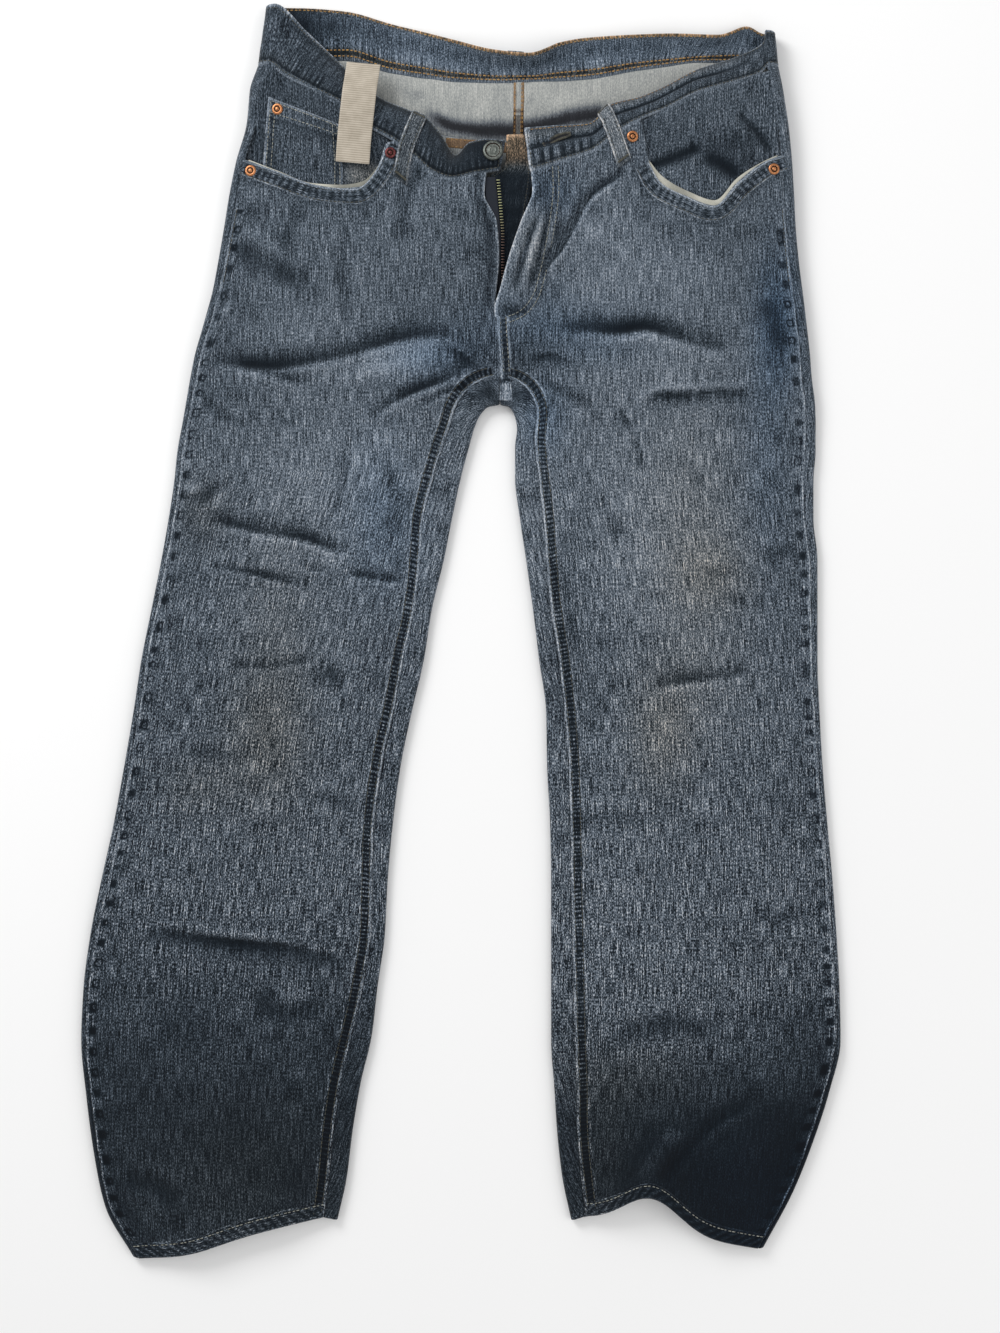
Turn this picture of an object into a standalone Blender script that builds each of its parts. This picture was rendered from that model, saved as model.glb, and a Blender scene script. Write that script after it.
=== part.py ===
"""Tapered five-pocket jeans, laid flat with the front up, the button undone and the fly open.

The frame: X across the garment, Y from hems to waist, Z up from the surface that it lies on.
"right" and "left" are the wearer's, so the right leg lies on the -X side.
Tables and sizes are in millimetres; make_mesh() turns them into metres.
"""
import math

import bmesh
import bpy
import numpy as np

MM = 0.001

# ---- Driving sizes (millimetres) ----
DENIM = 1.2                # wall of one layer of denim
BAND_WALL = 2.4            # the waistband is denim sewn double
SHIELD_WALL = 2.0          # the fly shield is denim sewn double
BAG_WALL = 0.6             # cotton of the pocket bags
GAP = 0.3                  # clearance between pieces at a seam
LAY_GAP = 0.4              # clearance between a piece and the panel under it
DOME_REACH = 60.0          # how far in from a folded edge the upper layer goes on rising
SEAT_LIFT = 1.6            # the seat lies on its back pockets and belt loops
FLAP_LIFT = 8.0            # height of the soft ridge along the open fly
FLAP_EDGE = 0.8            # share of that height at the flap's very edge
RIVET_LIFT = 0.5           # a rivet's foot stands this far over its cloth
CURVE_CLEAR = 0.3          # more clearance where a piece lies on a curved face

# ---- How thick the flat garment lies: fold radius of its edges and rise of the upper layer ----
# y, fold_radius, rise
THICKNESS_ROWS = (
    (470.0, 8.0, 7.0),
    (416.0, 7.0, 8.0),
    (375.0, 6.0, 9.0),
    (326.0, 5.4, 9.5),
    (277.0, 4.9, 9.0),
    (228.0, 4.4, 8.5),
    (170.0, 3.8, 7.5),
    (92.0, 3.4, 7.5),
    (-500.0, 3.4, 7.0),
)

# ---- Side edges of the hips: edge_x, y, side seam inside the edge ----
HIP_ROWS = {
    "right": (
        (-165.6, 462.5, 9.3),
        (-172.2, 442.8, 8.8),
        (-174.7, 416.6, 8.3),
        (-183.5, 385.0, 7.6),
        (-189.1, 358.0, 7.2),
        (-193.5, 331.0, 7.0),
        (-198.2, 304.0, 6.7),
        (-203.4, 277.2, 6.4),
        (-207.6, 262.0, 6.2),
        (-212.4, 245.0, 6.0),
    ),
    "left": (
        (259.1, 462.5, 9.6),
        (263.2, 442.8, 9.4),
        (267.3, 416.6, 9.2),
        (270.6, 385.0, 9.0),
        (272.3, 358.0, 9.0),
        (273.7, 331.0, 9.0),
        (276.2, 304.0, 9.0),
        (279.6, 277.2, 9.0),
        (281.5, 262.0, 9.0),
        (283.5, 245.0, 9.0),
    ),
}

# ---- Legs, one row for each section: outer_x, outer_y, inner_x, inner_y, side_seam, inseam ----
LEG_ROWS = {
    "right": (
        (-217.3, 228.0, 32.0, 187.0, 5.8, 22.0),
        (-221.4, 207.5, 22.1, 184.5, 5.4, 21.5),
        (-224.7, 188.6, 14.8, 176.3, 5.2, 21.0),
        (-228.0, 170.6, 10.7, 166.5, 5.0, 20.0),
        (-232.1, 148.4, 6.6, 151.7, 5.0, 21.0),
        (-234.5, 125.5, 0.0, 127.1, 4.9, 22.0),
        (-239.4, 92.7, -7.4, 92.7, 4.8, 23.5),
        (-245.2, 59.9, -13.9, 59.9, 4.8, 20.0),
        (-253.4, 18.9, -23.8, 18.9, 4.8, 14.5),
        (-261.6, -22.1, -30.3, -22.1, 5.0, 17.0),
        (-268.1, -64.8, -40.2, -64.8, 5.8, 15.0),
        (-275.5, -108.2, -49.2, -108.2, 5.8, 15.5),
        (-284.5, -157.4, -55.8, -157.4, 6.2, 15.5),
        (-294.4, -202.5, -59.9, -202.5, 6.4, 13.0),
        (-303.4, -247.6, -62.3, -247.6, 5.6, 12.0),
        (-309.1, -292.7, -68.1, -288.6, 5.0, 12.5),
        (-310.8, -333.7, -73.0, -329.6, 5.0, 16.5),
        (-306.7, -378.8, -82.0, -368.2, 5.0, 16.5),
        (-300.1, -428.0, -88.6, -407.5, 5.0, 16.0),
        (-291.1, -469.0, -93.5, -446.1, 5.0, 15.0),
        (-268.1, -507.6, -100.9, -479.7, 5.0, 12.0),
    ),
    "left": (
        (285.4, 228.0, 32.0, 187.0, 9.0, 22.0),
        (287.0, 207.5, 39.4, 184.5, 9.0, 21.0),
        (289.5, 188.6, 44.3, 176.3, 9.0, 19.0),
        (290.3, 170.6, 45.9, 166.5, 9.0, 15.5),
        (290.3, 148.4, 44.3, 151.7, 9.0, 17.0),
        (288.6, 125.5, 44.3, 127.1, 8.8, 19.5),
        (288.6, 92.7, 48.4, 92.7, 8.0, 19.5),
        (291.9, 59.9, 53.3, 59.9, 7.0, 17.0),
        (291.9, 18.9, 59.0, 18.9, 6.0, 15.0),
        (291.9, -22.1, 64.0, -22.1, 5.2, 16.5),
        (293.6, -64.8, 69.7, -64.8, 4.8, 15.5),
        (296.0, -108.2, 70.5, -108.2, 4.8, 18.0),
        (300.1, -157.4, 73.0, -157.4, 4.8, 17.0),
        (304.2, -202.5, 73.8, -202.5, 4.8, 17.0),
        (307.5, -247.6, 73.8, -247.6, 4.8, 18.0),
        (310.0, -292.7, 73.8, -292.7, 4.8, 19.0),
        (310.8, -333.7, 73.8, -333.7, 4.8, 20.0),
        (301.8, -374.7, 76.3, -370.6, 4.8, 19.0),
        (288.6, -415.7, 78.7, -407.5, 4.8, 17.0),
        (272.2, -456.7, 82.8, -444.4, 4.8, 16.0),
        (247.6, -502.7, 90.2, -480.5, 4.8, 13.0),
    ),
}

# Where each back panel leaves the floor for its inner wrap, from the crotch down
INNER_FLOOR = (45.0, 30.0, 22.0, 16.0)
INNER_FLOOR_LEG = 12.0

# ---- Top edge of each front panel, from the side seam to the fly: x, y, bag_peek ----
# The first points are the pocket opening, over which the bag shows by bag_peek;
# the rest follow the waistband seam and have no bag.
FRONT_TOP = {
    "right": (
        (-176.6, 385.0, 0.5),
        (-150.1, 374.7, 2.5),
        (-120.5, 363.3, 3.0),
        (-96.8, 360.0, 8.0),
        (-80.0, 361.5, 11.0),
        (-67.0, 377.0, 4.0),
        (-58.8, 397.2, 0.5),
        (-53.3, 397.9, None),
        (-37.7, 385.6, None),
        (-23.8, 373.3, None),
        (-6.6, 368.4, None),
        (10.7, 371.7, None),
        (20.5, 373.3, None),
    ),
    "left": (
        (262.1, 388.5, 0.5),
        (247.0, 382.0, 1.5),
        (225.5, 365.0, 5.0),
        (206.6, 346.0, 5.5),
        (183.7, 353.4, 6.0),
        (163.0, 364.0, 8.0),
        (152.5, 381.0, 3.0),
        (145.3, 415.8, 0.5),
        (128.7, 406.9, None),
        (106.6, 390.5, None),
        (81.2, 381.5, None),
        (68.0, 376.9, None),
        (57.6, 373.3, None),
    ),
}
BAG_COLUMNS = 7

# ---- The panels' edges down the fly and centre front, with the side seam's y: edge_x, edge_y, side_y
FLY_ROWS = {
    "right": (
        (20.5, 373.3, 385.0),
        (18.9, 355.9, 358.0),
        (29.3, 332.1, 331.0),
        (30.9, 304.2, 304.0),
        (28.6, 277.0, 277.2),
        (27.4, 262.0, 262.0),
        (29.9, 245.0, 245.0),
    ),
    "left": (
        (57.6, 373.3, 388.5),
        (58.6, 358.0, 358.0),
        (49.0, 332.0, 331.0),
        (39.4, 304.0, 304.0),
        (32.0, 277.0, 277.2),
        (27.9, 262.0, 262.0),
        (30.4, 245.0, 245.0),
    ),
}
TOP_ROWS = 4               # rows of the table above down to the first straight section

# ---- Centre-back seam on the floor: x, y, side_y ----
CENTRE_BACK = (
    (46.7, 396.0, 436.0),
    (46.0, 380.0, 416.6),
    (45.0, 357.0, 385.0),
    (43.6, 337.0, 358.0),
    (42.0, 316.0, 331.0),
    (39.8, 294.0, 304.0),
    (37.5, 271.0, 277.2),
    (35.8, 258.0, 262.0),
    (34.0, 245.5, 245.0),
    (32.0, 232.0, 228.0),
)

# ---- Waistband sections: seam_x, seam_y, top_x, top_y, top_z ----
BAND_BUTTON_END = (
    (31.2, 375.6, 35.3, 400.2, 18.0),
    (20.5, 373.9, 20.5, 401.5, 17.0),
    (10.7, 372.3, 7.4, 399.3, 15.0),
    (-6.6, 369.0, -4.1, 389.5, 12.0),
    (-23.8, 373.9, -16.4, 406.7, 13.0),
    (-37.7, 386.2, -27.1, 419.0, 13.0),
    (-53.3, 398.5, -43.5, 426.4, 13.0),
    (-74.6, 410.8, -63.1, 434.6, 12.0),
    (-97.6, 429.7, -84.5, 451.0, 12.0),
    (-121.4, 441.2, -103.3, 469.0, 13.0),
    (-144.3, 453.5, -125.8, 489.0, 15.5),
)
BAND_BACK = (
    (-132.0, 467.4, -132.0, 510.5, 1.6),
    (-94.3, 469.0, -94.3, 507.6, 1.6),
    (-58.2, 459.2, -58.2, 497.7, 1.6),
    (-26.2, 454.3, -26.2, 489.5, 4.0),
    (-3.3, 451.8, -0.8, 482.2, 9.0),
    (32.0, 451.0, 29.5, 474.0, 16.0),
    (54.9, 451.8, 54.9, 471.5, 17.0),
    (81.2, 452.6, 81.2, 481.3, 11.0),
    (105.8, 454.3, 101.7, 485.4, 6.0),
    (142.7, 460.8, 142.7, 487.9, 8.0),
    (167.3, 464.1, 173.0, 488.7, 9.0),
    (194.3, 467.4, 208.3, 488.0, 8.0),
    (228.8, 466.6, 233.7, 495.3, 3.0),
)
BAND_HOLE_END = (
    (243.0, 454.8, 246.5, 481.0, 16.5),
    (225.5, 448.5, 227.1, 469.9, 15.0),
    (189.4, 437.1, 191.9, 458.4, 13.0),
    (167.3, 425.6, 167.3, 446.1, 12.0),
    (146.8, 417.4, 146.8, 437.1, 12.0),
    (128.7, 407.5, 122.2, 430.5, 13.0),
    (106.6, 391.1, 104.1, 414.9, 15.0),
    (81.2, 382.1, 77.9, 412.5, 17.0),
    (68.0, 377.5, 64.5, 411.2, 18.0),
    (57.4, 373.9, 52.5, 410.0, 19.0),
)
# side edge of the band at its folds: seam_edge_x, seam_y, top_edge_x, top_y
BAND_FOLD = {
    "right": (-165.6, 462.5, -159.0, 510.7),
    "left": (259.1, 462.5, 256.6, 489.4),
}
FOLD_STEPS = (1.0, 0.5, 0.0, -0.5, -1.0)
BAND_WIDTHS = (0.0, 0.2, 0.45, 0.72, 1.0)
BAND_CREST = {"front": 0.62, "back": 0.7}

# ---- Pocket facings: outer corner to inner end along the waistband seam: x, y ----
FACING_TOP = {
    "right": (
        (-155.8, 456.8),
        (-144.3, 453.0),
        (-121.4, 440.7),
        (-97.6, 429.2),
        (-74.6, 410.3),
        (-57.5, 400.0),
    ),
    "left": (
        (249.4, 456.4),
        (243.0, 454.3),
        (225.5, 448.0),
        (189.4, 436.6),
        (167.3, 425.1),
        (146.8, 416.9),
        (139.0, 412.2),
    ),
}
FACING_DEPTH = {"right": 5.0, "left": 3.4}
FACING_SIDE_Y = (442.8, 429.7, 416.6, 401.0, 385.0, 355.0)
FACING_LOW_Y = {"right": 326.0, "left": 312.0}
COIN_LEFT = ((-155.8, 435.4), (-160.7, 381.3), (-160.7, 345.0))
COIN_RIGHT = ((-98.4, 411.6), (-96.0, 378.0), (-96.0, 345.0))
COIN_WALL = 1.0

# ---- Fly: x of each zip chain and the shield's edges ----
# y, left_chain_x (on the right panel's side), right_chain_x
CHAIN_ROWS = (
    (369.5, 30.4, 68.5),
    (342.0, 32.9, 61.5),
    (321.0, 34.4, 54.0),
    (302.0, 34.4, 47.5),
    (290.0, 34.4, 42.0),
    (278.0, 34.4, 39.4),
)
CHAIN_WIDTH = 3.8
CHAIN_WALL = 2.1
CHAIN_DIP = 1.7            # the chains run down into the slider, under the pull tab
TAPE_WALL = 0.6
TAPE_WIDTH = 9.0
# y, x_from, x_to, depth under the front
SHIELD_ROWS = (
    (404.0, 38.2, 51.0, 4.2),
    (390.0, 37.8, 53.5, 4.2),
    (379.0, 36.6, 56.0, 4.4),
    (369.0, 23.0, 57.5, 4.8),
    (345.0, 19.0, 54.0, 5.0),
    (310.0, 18.0, 48.0, 5.0),
    (278.0, 20.0, 44.0, 6.1),
    (248.0, 24.0, 38.0, 6.1),
)
SLIDER_CENTRE = (36.9, 272.4)
SLIDER_SIZE = (9.0, 10.0, 4.2)
SLIDER_DEPTH = 5.4
TAB_SIZE = (6.0, 19.0, 1.1)
TAB_CLEAR = 0.35

# ---- Belt loops: band section at the loop's middle, slant along the band, width ----
# name, section, slant, width, tail_x, tail_y
FRONT_LOOPS = (
    ("belt_loop_front_right", 5.43, -0.05, 12.0, -4.3, -25.0),
    ("belt_loop_front_left", 39.24, 0.11, 11.5, 8.3, -23.5),
)
# name, section, slant, width
BACK_LOOPS = (
    ("belt_loop_side_right", 17.3, 0.0, 12.0),
    ("belt_loop_centre_back", 21.6, 0.0, 12.0),
    ("belt_loop_side_left", 26.6, 0.0, 12.0),
)
LOOP_WALL = 1.2
LOOP_FOOT = 10.0           # the back loops are tacked this far below the band

# ---- Care label, hung out of the waist: x, y, height over the front ----
LABEL_ROWS = (
    (-79.0, 463.0, -9.0),
    (-80.2, 452.0, -4.6),
    (-81.6, 441.0, -0.3),
    (-83.0, 428.0, 1.4),
    (-84.6, 414.0, 1.2),
    (-86.3, 398.0, 0.4),
    (-87.6, 381.0, 0.2),
)
LABEL_WIDTH = 27.0
LABEL_WALL = 0.6

# ---- Back pockets: half widths at the mouth and shoulder, and their lengths ----
POCKET_MIDDLE_X = {"right": -68.0, "left": 156.0}
POCKET_TOP_Y = 376.0
POCKET_HALF_TOP = 73.0
POCKET_HALF_LOW = 64.0
POCKET_SHOULDER = 132.0
POCKET_LENGTH = 158.0

SIGN = {"right": -1.0, "left": 1.0}

COLOURS = {
    "denim": ((0.125, 0.170, 0.225), 0.85, 0.0),
    "facing": ((0.075, 0.110, 0.155), 0.85, 0.0),
    "shield": ((0.020, 0.034, 0.055), 0.85, 0.0),
    "cotton": ((0.62, 0.61, 0.56), 0.9, 0.0),
    "label": ((0.60, 0.56, 0.47), 0.6, 0.0),
    "tape": ((0.03, 0.04, 0.055), 0.8, 0.0),
    "brass": ((0.45, 0.33, 0.15), 0.35, 1.0),
    "copper": ((0.62, 0.27, 0.12), 0.35, 1.0),
    "pewter": ((0.34, 0.35, 0.35), 0.4, 1.0),
}


# ---------------------------------------------------------------- small helpers
def smooth(value):
    """A soft step from 0 to 1."""
    t = np.clip(value, 0.0, 1.0)
    return t * t * (3.0 - 2.0 * t)


def at_y(rows, y, column, y_column=0):
    """Value of a table's column at a height y; the rows run from high y to low."""
    heights = [-row[y_column] for row in rows]
    return np.interp(-np.asarray(y, float), heights, [row[column] for row in rows])


def fold_radius(y):
    return at_y(THICKNESS_ROWS, y, 1)


def seat_lift(y):
    return SEAT_LIFT * smooth((np.asarray(y, float) - 150.0) / 50.0)


def side_rows(side):
    """Outer edge of a side from waist to hem: x, y, side seam."""
    legs = [(row[0], row[1], row[4]) for row in LEG_ROWS[side]]
    return list(HIP_ROWS[side]) + legs


def distance_to(line, x, y):
    """Distance from points to an open line of straight stretches."""
    best = np.full(np.shape(x), 1e9)
    for (ax, ay), (bx, by) in zip(line, line[1:]):
        run = (bx - ax, by - ay)
        t = ((x - ax) * run[0] + (y - ay) * run[1]) / (run[0] ** 2 + run[1] ** 2)
        t = np.clip(t, 0.0, 1.0)
        best = np.minimum(best, np.hypot(x - ax - t * run[0], y - ay - t * run[1]))
    return best


def folded_edges():
    """The three lines where the flat garment folds over: both sides and the inner legs."""
    inner_right = [(row[2], row[3]) for row in LEG_ROWS["right"]]
    inner_left = [(row[2], row[3]) for row in LEG_ROWS["left"]]
    sides = [[(row[0], row[1]) for row in side_rows(side)] for side in ("right", "left")]
    return sides + [inner_right[::-1] + inner_left[1:]]


EDGES = folded_edges()

# Bends of the hems: middle_x, width, shift_y, ridge_z, and where each begins and its length up the leg
HEM_BENDS = (
    (155.0, 23.0, 28.0, 6.0, -400.0, 85.0),
    (-225.0, 30.0, -7.0, 0.0, -430.0, 60.0),
)


def hem_bend(x, y):
    """How far a hem's bends move a point along Y, and how high they lift it."""
    shift = 0.0
    ridge = 0.0
    for middle, width, along, height, start, length in HEM_BENDS:
        bell = np.exp(-0.5 * ((x - middle) / width) ** 2) * smooth((start - y) / length)
        shift = shift + along * bell
        ridge = ridge + height * bell
    return shift, ridge


def front_z(x, y):
    """Height of the upper layer's outer face."""
    x = np.asarray(x, float)
    y = np.asarray(y, float)
    gap = np.minimum.reduce([distance_to(line, x, y) for line in EDGES])
    radius = fold_radius(y)
    rise = at_y(THICKNESS_ROWS, y, 2) * smooth((gap - radius) / DOME_REACH)
    return seat_lift(y) + 2.0 * radius + rise + hem_bend(x, y)[1]


def flap_lift(x, y):
    """Soft ridge that stands along the open fly's edge on the left front."""
    edge = at_y(FLY_ROWS["left"], y, 0, y_column=1)
    inside = np.asarray(x, float) - edge
    across = (FLAP_EDGE + (1.0 - FLAP_EDGE) * smooth(inside / 9.0)) * (1.0 - smooth((inside - 12.0) / 36.0))
    along = smooth((np.asarray(y, float) - 249.0) / 22.0)
    along = along * (1.0 - 0.72 * smooth((np.asarray(y, float) - 340.0) / 30.0))
    return FLAP_LIFT * across * along


def front_point(side, x, y, up=0.0):
    """A point on the upper layer, moved up."""
    z = front_z(x, y) + up
    if side == "left":
        z = z + flap_lift(x, y)
    return np.array((x, y + hem_bend(x, y)[0], z))


def wrap_point(edge, outward, run):
    """A point on the cloth round a folded edge.

    run is measured along the cloth from the outermost line: over the top when it is
    positive, under the garment when it is negative.
    """
    radius = float(fold_radius(edge[1]))
    quarter = math.pi * radius / 2.0
    if abs(run) <= quarter:
        angle = run / radius
        inside = radius * (1.0 - math.cos(angle))
        height = radius * (1.0 + math.sin(angle))
        x = edge[0] - outward[0] * inside
        y = edge[1] - outward[1] * inside
        return np.array((x, y + hem_bend(x, y)[0], float(seat_lift(y)) + height))
    inside = radius + abs(run) - quarter
    x = edge[0] - outward[0] * inside
    y = edge[1] - outward[1] * inside
    if run > 0.0:
        return front_point("right", x, y)
    return np.array((x, y + hem_bend(x, y)[0], float(seat_lift(y))))


# ---------------------------------------------------------------- objects and meshes
def make_material(kind):
    material = bpy.data.materials.get(kind)
    if material is None:
        colour, roughness, metallic = COLOURS[kind]
        material = bpy.data.materials.new(kind)
        material.use_nodes = True
        shader = material.node_tree.nodes["Principled BSDF"]
        shader.inputs["Base Color"].default_value = (*colour, 1.0)
        shader.inputs["Roughness"].default_value = roughness
        shader.inputs["Metallic"].default_value = metallic
        material.diffuse_color = (*colour, 1.0)
    return material


def make_mesh(name, points, faces, kind, smooth_angle=0.6):
    """An object from points in millimetres and faces; its faces are turned outwards."""
    mesh = bpy.data.meshes.new(name)
    mesh.from_pydata([tuple(float(c) * MM for c in point) for point in points], [], faces)
    work = bmesh.new()
    work.from_mesh(mesh)
    bmesh.ops.recalc_face_normals(work, faces=work.faces)
    bmesh.ops.triangulate(work, faces=work.faces)
    work.to_mesh(mesh)
    work.free()
    mesh.materials.append(make_material(kind))
    mesh.shade_smooth()
    mesh.set_sharp_from_angle(angle=smooth_angle)
    piece = bpy.data.objects.new(name, mesh)
    bpy.context.scene.collection.objects.link(piece)
    piece.parent = garment
    return piece


def height_on(rows, x, y):
    """Height of a grid's faceted surface at x, y; the nearest corner's height outside it."""
    nearest = (1e9, 0.0)
    for corners in grid_quads(rows):
        a, b, c, d = (rows[i][j] for i, j in corners)
        if min(a[0], b[0], c[0], d[0]) - 1.0 > x or max(a[0], b[0], c[0], d[0]) + 1.0 < x:
            continue
        for p, q, r in ((a, b, c), (a, c, d)):
            area = (q[0] - p[0]) * (r[1] - p[1]) - (r[0] - p[0]) * (q[1] - p[1])
            if abs(area) < 1e-9:
                continue
            s = ((x - p[0]) * (r[1] - p[1]) - (r[0] - p[0]) * (y - p[1])) / area
            t = ((q[0] - p[0]) * (y - p[1]) - (x - p[0]) * (q[1] - p[1])) / area
            if s >= 0.0 and t >= 0.0 and s + t <= 1.0:
                return float(p[2] + s * (q[2] - p[2]) + t * (r[2] - p[2]))
            for corner in (p, q, r):
                gap = math.hypot(corner[0] - x, corner[1] - y)
                nearest = min(nearest, (gap, float(corner[2])))
    return nearest[1]


def grid_quads(rows):
    """Faces of a grid of points; a None in a row is a place with no cloth."""
    quads = []
    for i in range(len(rows) - 1):
        for j in range(len(rows[0]) - 1):
            corners = [(i, j), (i, j + 1), (i + 1, j + 1), (i + 1, j)]
            if all(rows[a][b] is not None for a, b in corners):
                quads.append(corners)
    return quads


def grid_normals(rows, quads, outside):
    """Unit normal at each point; outside is +1 or -1, to turn them out of the garment."""
    normals = {}
    for corners in quads:
        a, b, c, d = (rows[i][j] for i, j in corners)
        normal = np.cross(c - a, d - b) * outside
        for corner in corners:
            normals[corner] = normals.get(corner, np.zeros(3)) + normal
    return {key: value / np.linalg.norm(value) for key, value in normals.items()}


def cloth(name, rows, wall, kind, outside=1.0, straight_down=False):
    """A closed wall of cloth under a grid of points on its outer face."""
    quads = grid_quads(rows)
    normals = grid_normals(rows, quads, outside)
    index = {key: number for number, key in enumerate(sorted(normals))}
    count = len(index)
    down = np.array((0.0, 0.0, 1.0))
    outer = [rows[i][j] for i, j in sorted(normals)]
    inner = [rows[i][j] - wall * (down if straight_down else normals[(i, j)])
             for i, j in sorted(normals)]
    faces = []
    edges = {}
    for corners in quads:
        ring = [index[corner] for corner in corners]
        for tri in ((0, 1, 2), (0, 2, 3)):
            faces.append([ring[t] for t in tri])
            faces.append([ring[t] + count for t in reversed(tri)])
        for a, b in zip(ring, ring[1:] + ring[:1]):
            edges[(a, b)] = True
    for a, b in edges:
        if (b, a) not in edges:
            faces.append([b, a, a + count, b + count])
    return make_mesh(name, outer + inner, faces, kind)


def turned(name, profile, centre, normal, kind, sides=16):
    """A round piece turned from a profile of radius, height, set square to a normal."""
    normal = np.asarray(normal, float) / np.linalg.norm(normal)
    across = np.cross(normal, (0.0, 1.0, 0.0))
    across = across / np.linalg.norm(across)
    up = np.cross(normal, across)
    points = [np.asarray(centre, float) + normal * profile[0][1]]
    for radius, height in profile[1:-1]:
        for k in range(sides):
            angle = 2.0 * math.pi * k / sides
            spoke = across * math.cos(angle) + up * math.sin(angle)
            points.append(np.asarray(centre, float) + normal * height + spoke * radius)
    points.append(np.asarray(centre, float) + normal * profile[-1][1])
    rings = len(profile) - 2
    faces = [[0, 1 + (k + 1) % sides, 1 + k] for k in range(sides)]
    for ring in range(rings - 1):
        low = 1 + ring * sides
        for k in range(sides):
            m = (k + 1) % sides
            faces.append([low + k, low + m, low + sides + m, low + sides + k])
    top = 1 + (rings - 1) * sides
    faces += [[top + k, top + (k + 1) % sides, len(points) - 1] for k in range(sides)]
    return make_mesh(name, points, faces, kind)


# ---------------------------------------------------------------- the four big panels
def inner_normals(side):
    """Direction out of the cloth at each row of the inner leg, turning from the crotch."""
    points = [np.array((row[2], row[3])) for row in LEG_ROWS[side]]
    normals = [np.array((0.0, -1.0))]
    for i in range(1, len(points)):
        ahead = points[min(i + 1, len(points) - 1)] - points[i - 1]
        across = np.array((ahead[1], -ahead[0])) * SIGN[side]
        normals.append(across / np.linalg.norm(across))
    return normals


def outer_wrap(side, y):
    """Cloth of a back panel from the side seam, round the outer edge, to the floor."""
    rows = side_rows(side)
    edge = (float(at_y(rows, y, 0, 1)), y)
    seam = float(at_y(rows, y, 2, 1))
    radius = float(fold_radius(y))
    quarter = math.pi * radius / 2.0
    runs = [quarter + seam - radius - GAP / 2.0] + [step * quarter for step in FOLD_STEPS]
    return [wrap_point(edge, (SIGN[side], 0.0), run) for run in runs]


def floor_run(start, end, count):
    """Points on the floor strictly between two points, and the end."""
    points = []
    for k in range(1, count + 1):
        x = start[0] + (end[0] - start[0]) * k / count
        y = start[1] + (end[1] - start[1]) * k / count
        flat_y = y + float(hem_bend(x, y)[0]) * (0.0 if k == count else 1.0)
        points.append(np.array((x, flat_y, float(seat_lift(y)))))
    return points


FLOOR_STEPS = 5


def inner_wrap(side, number, normals):
    """Cloth of a back panel from the floor, round the inner leg's edge, to the inseam."""
    row = LEG_ROWS[side][number]
    edge = (row[2] + SIGN[side] * GAP / 2.0 * (number == 0), row[3])
    radius = float(fold_radius(edge[1]))
    quarter = math.pi * radius / 2.0
    runs = [step * quarter for step in reversed(FOLD_STEPS)]
    runs.append(quarter + row[5] - radius - GAP / 2.0)
    return [wrap_point(edge, normals[number], run) for run in runs]


def back_panel(side):
    normals = inner_normals(side)
    rows = []
    beyond = [None] * (len(FOLD_STEPS) + 1)
    for x, y, side_y in CENTRE_BACK[:-1]:
        drop = GAP if y == CENTRE_BACK[0][1] else 0.0
        wrap = outer_wrap(side, side_y - drop)
        end = (x + SIGN[side] * GAP / 2.0, y - drop)
        rows.append(wrap + floor_run(wrap[-1], end, FLOOR_STEPS) + beyond)
    for number, row in enumerate(LEG_ROWS[side]):
        wrap = outer_wrap(side, row[1])
        reach = INNER_FLOOR[number] if number < len(INNER_FLOOR) else INNER_FLOOR_LEG
        edge = (row[2] + SIGN[side] * GAP / 2.0 * (number == 0), row[3])
        end = (edge[0] - normals[number][0] * reach, edge[1] - normals[number][1] * reach)
        inner = inner_wrap(side, number, normals)
        rows.append(wrap + floor_run(wrap[-1], end, FLOOR_STEPS) + inner)
    return cloth(f"back_panel_{side}", rows, DENIM, "denim", outside=-SIGN[side])


def front_rows(side):
    """Points of a front panel in the XY plane, row by row from its top edge to the hem."""
    rows = side_rows(side)
    normals = inner_normals(side)

    def side_point(y):
        seam = float(at_y(rows, y, 2, 1)) + GAP / 2.0
        return np.array((float(at_y(rows, y, 0, 1)) - SIGN[side] * seam, y))

    top = [np.array(point[:2]) for point in FRONT_TOP[side]]
    shares = [(point[0] - top[0][0]) / (top[-1][0] - top[0][0]) for point in top]
    low_side = side_point(FLY_ROWS[side][TOP_ROWS][2])
    low_fly = np.array(FLY_ROWS[side][TOP_ROWS][:2])
    grid = []
    for number in range(TOP_ROWS):
        share = number / TOP_ROWS
        fly = np.array(FLY_ROWS[side][number][:2])
        edge = side_point(FLY_ROWS[side][number][2])
        fly_error = fly - (top[-1] + (low_fly - top[-1]) * share)
        side_error = edge - (top[0] + (low_side - top[0]) * share)
        line = []
        for u, start in zip(shares, top):
            low = low_side + (low_fly - low_side) * u
            point = start + (low - start) * share
            line.append(point + fly_error * u ** 3 + side_error * (1 - u) ** 3)
        grid.append(line)
    for x, y, side_y in FLY_ROWS[side][TOP_ROWS:]:
        start = side_point(side_y)
        grid.append([start + (np.array((x, y)) - start) * u for u in shares])
    for number, row in enumerate(LEG_ROWS[side]):
        start = side_point(row[1])
        inseam = row[5] + GAP / 2.0
        end = np.array((row[2], row[3])) - normals[number] * inseam
        end[0] += SIGN[side] * GAP / 2.0 * (number == 0)
        grid.append([start + (end - start) * u for u in shares])
    return grid


def front_grid(side, up=0.0):
    return [[front_point(side, x, y, up) for x, y in line] for line in front_rows(side)]


def front_panel(side):
    return cloth(f"front_panel_{side}", front_grid(side), DENIM, "denim", outside=SIGN[side])


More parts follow.
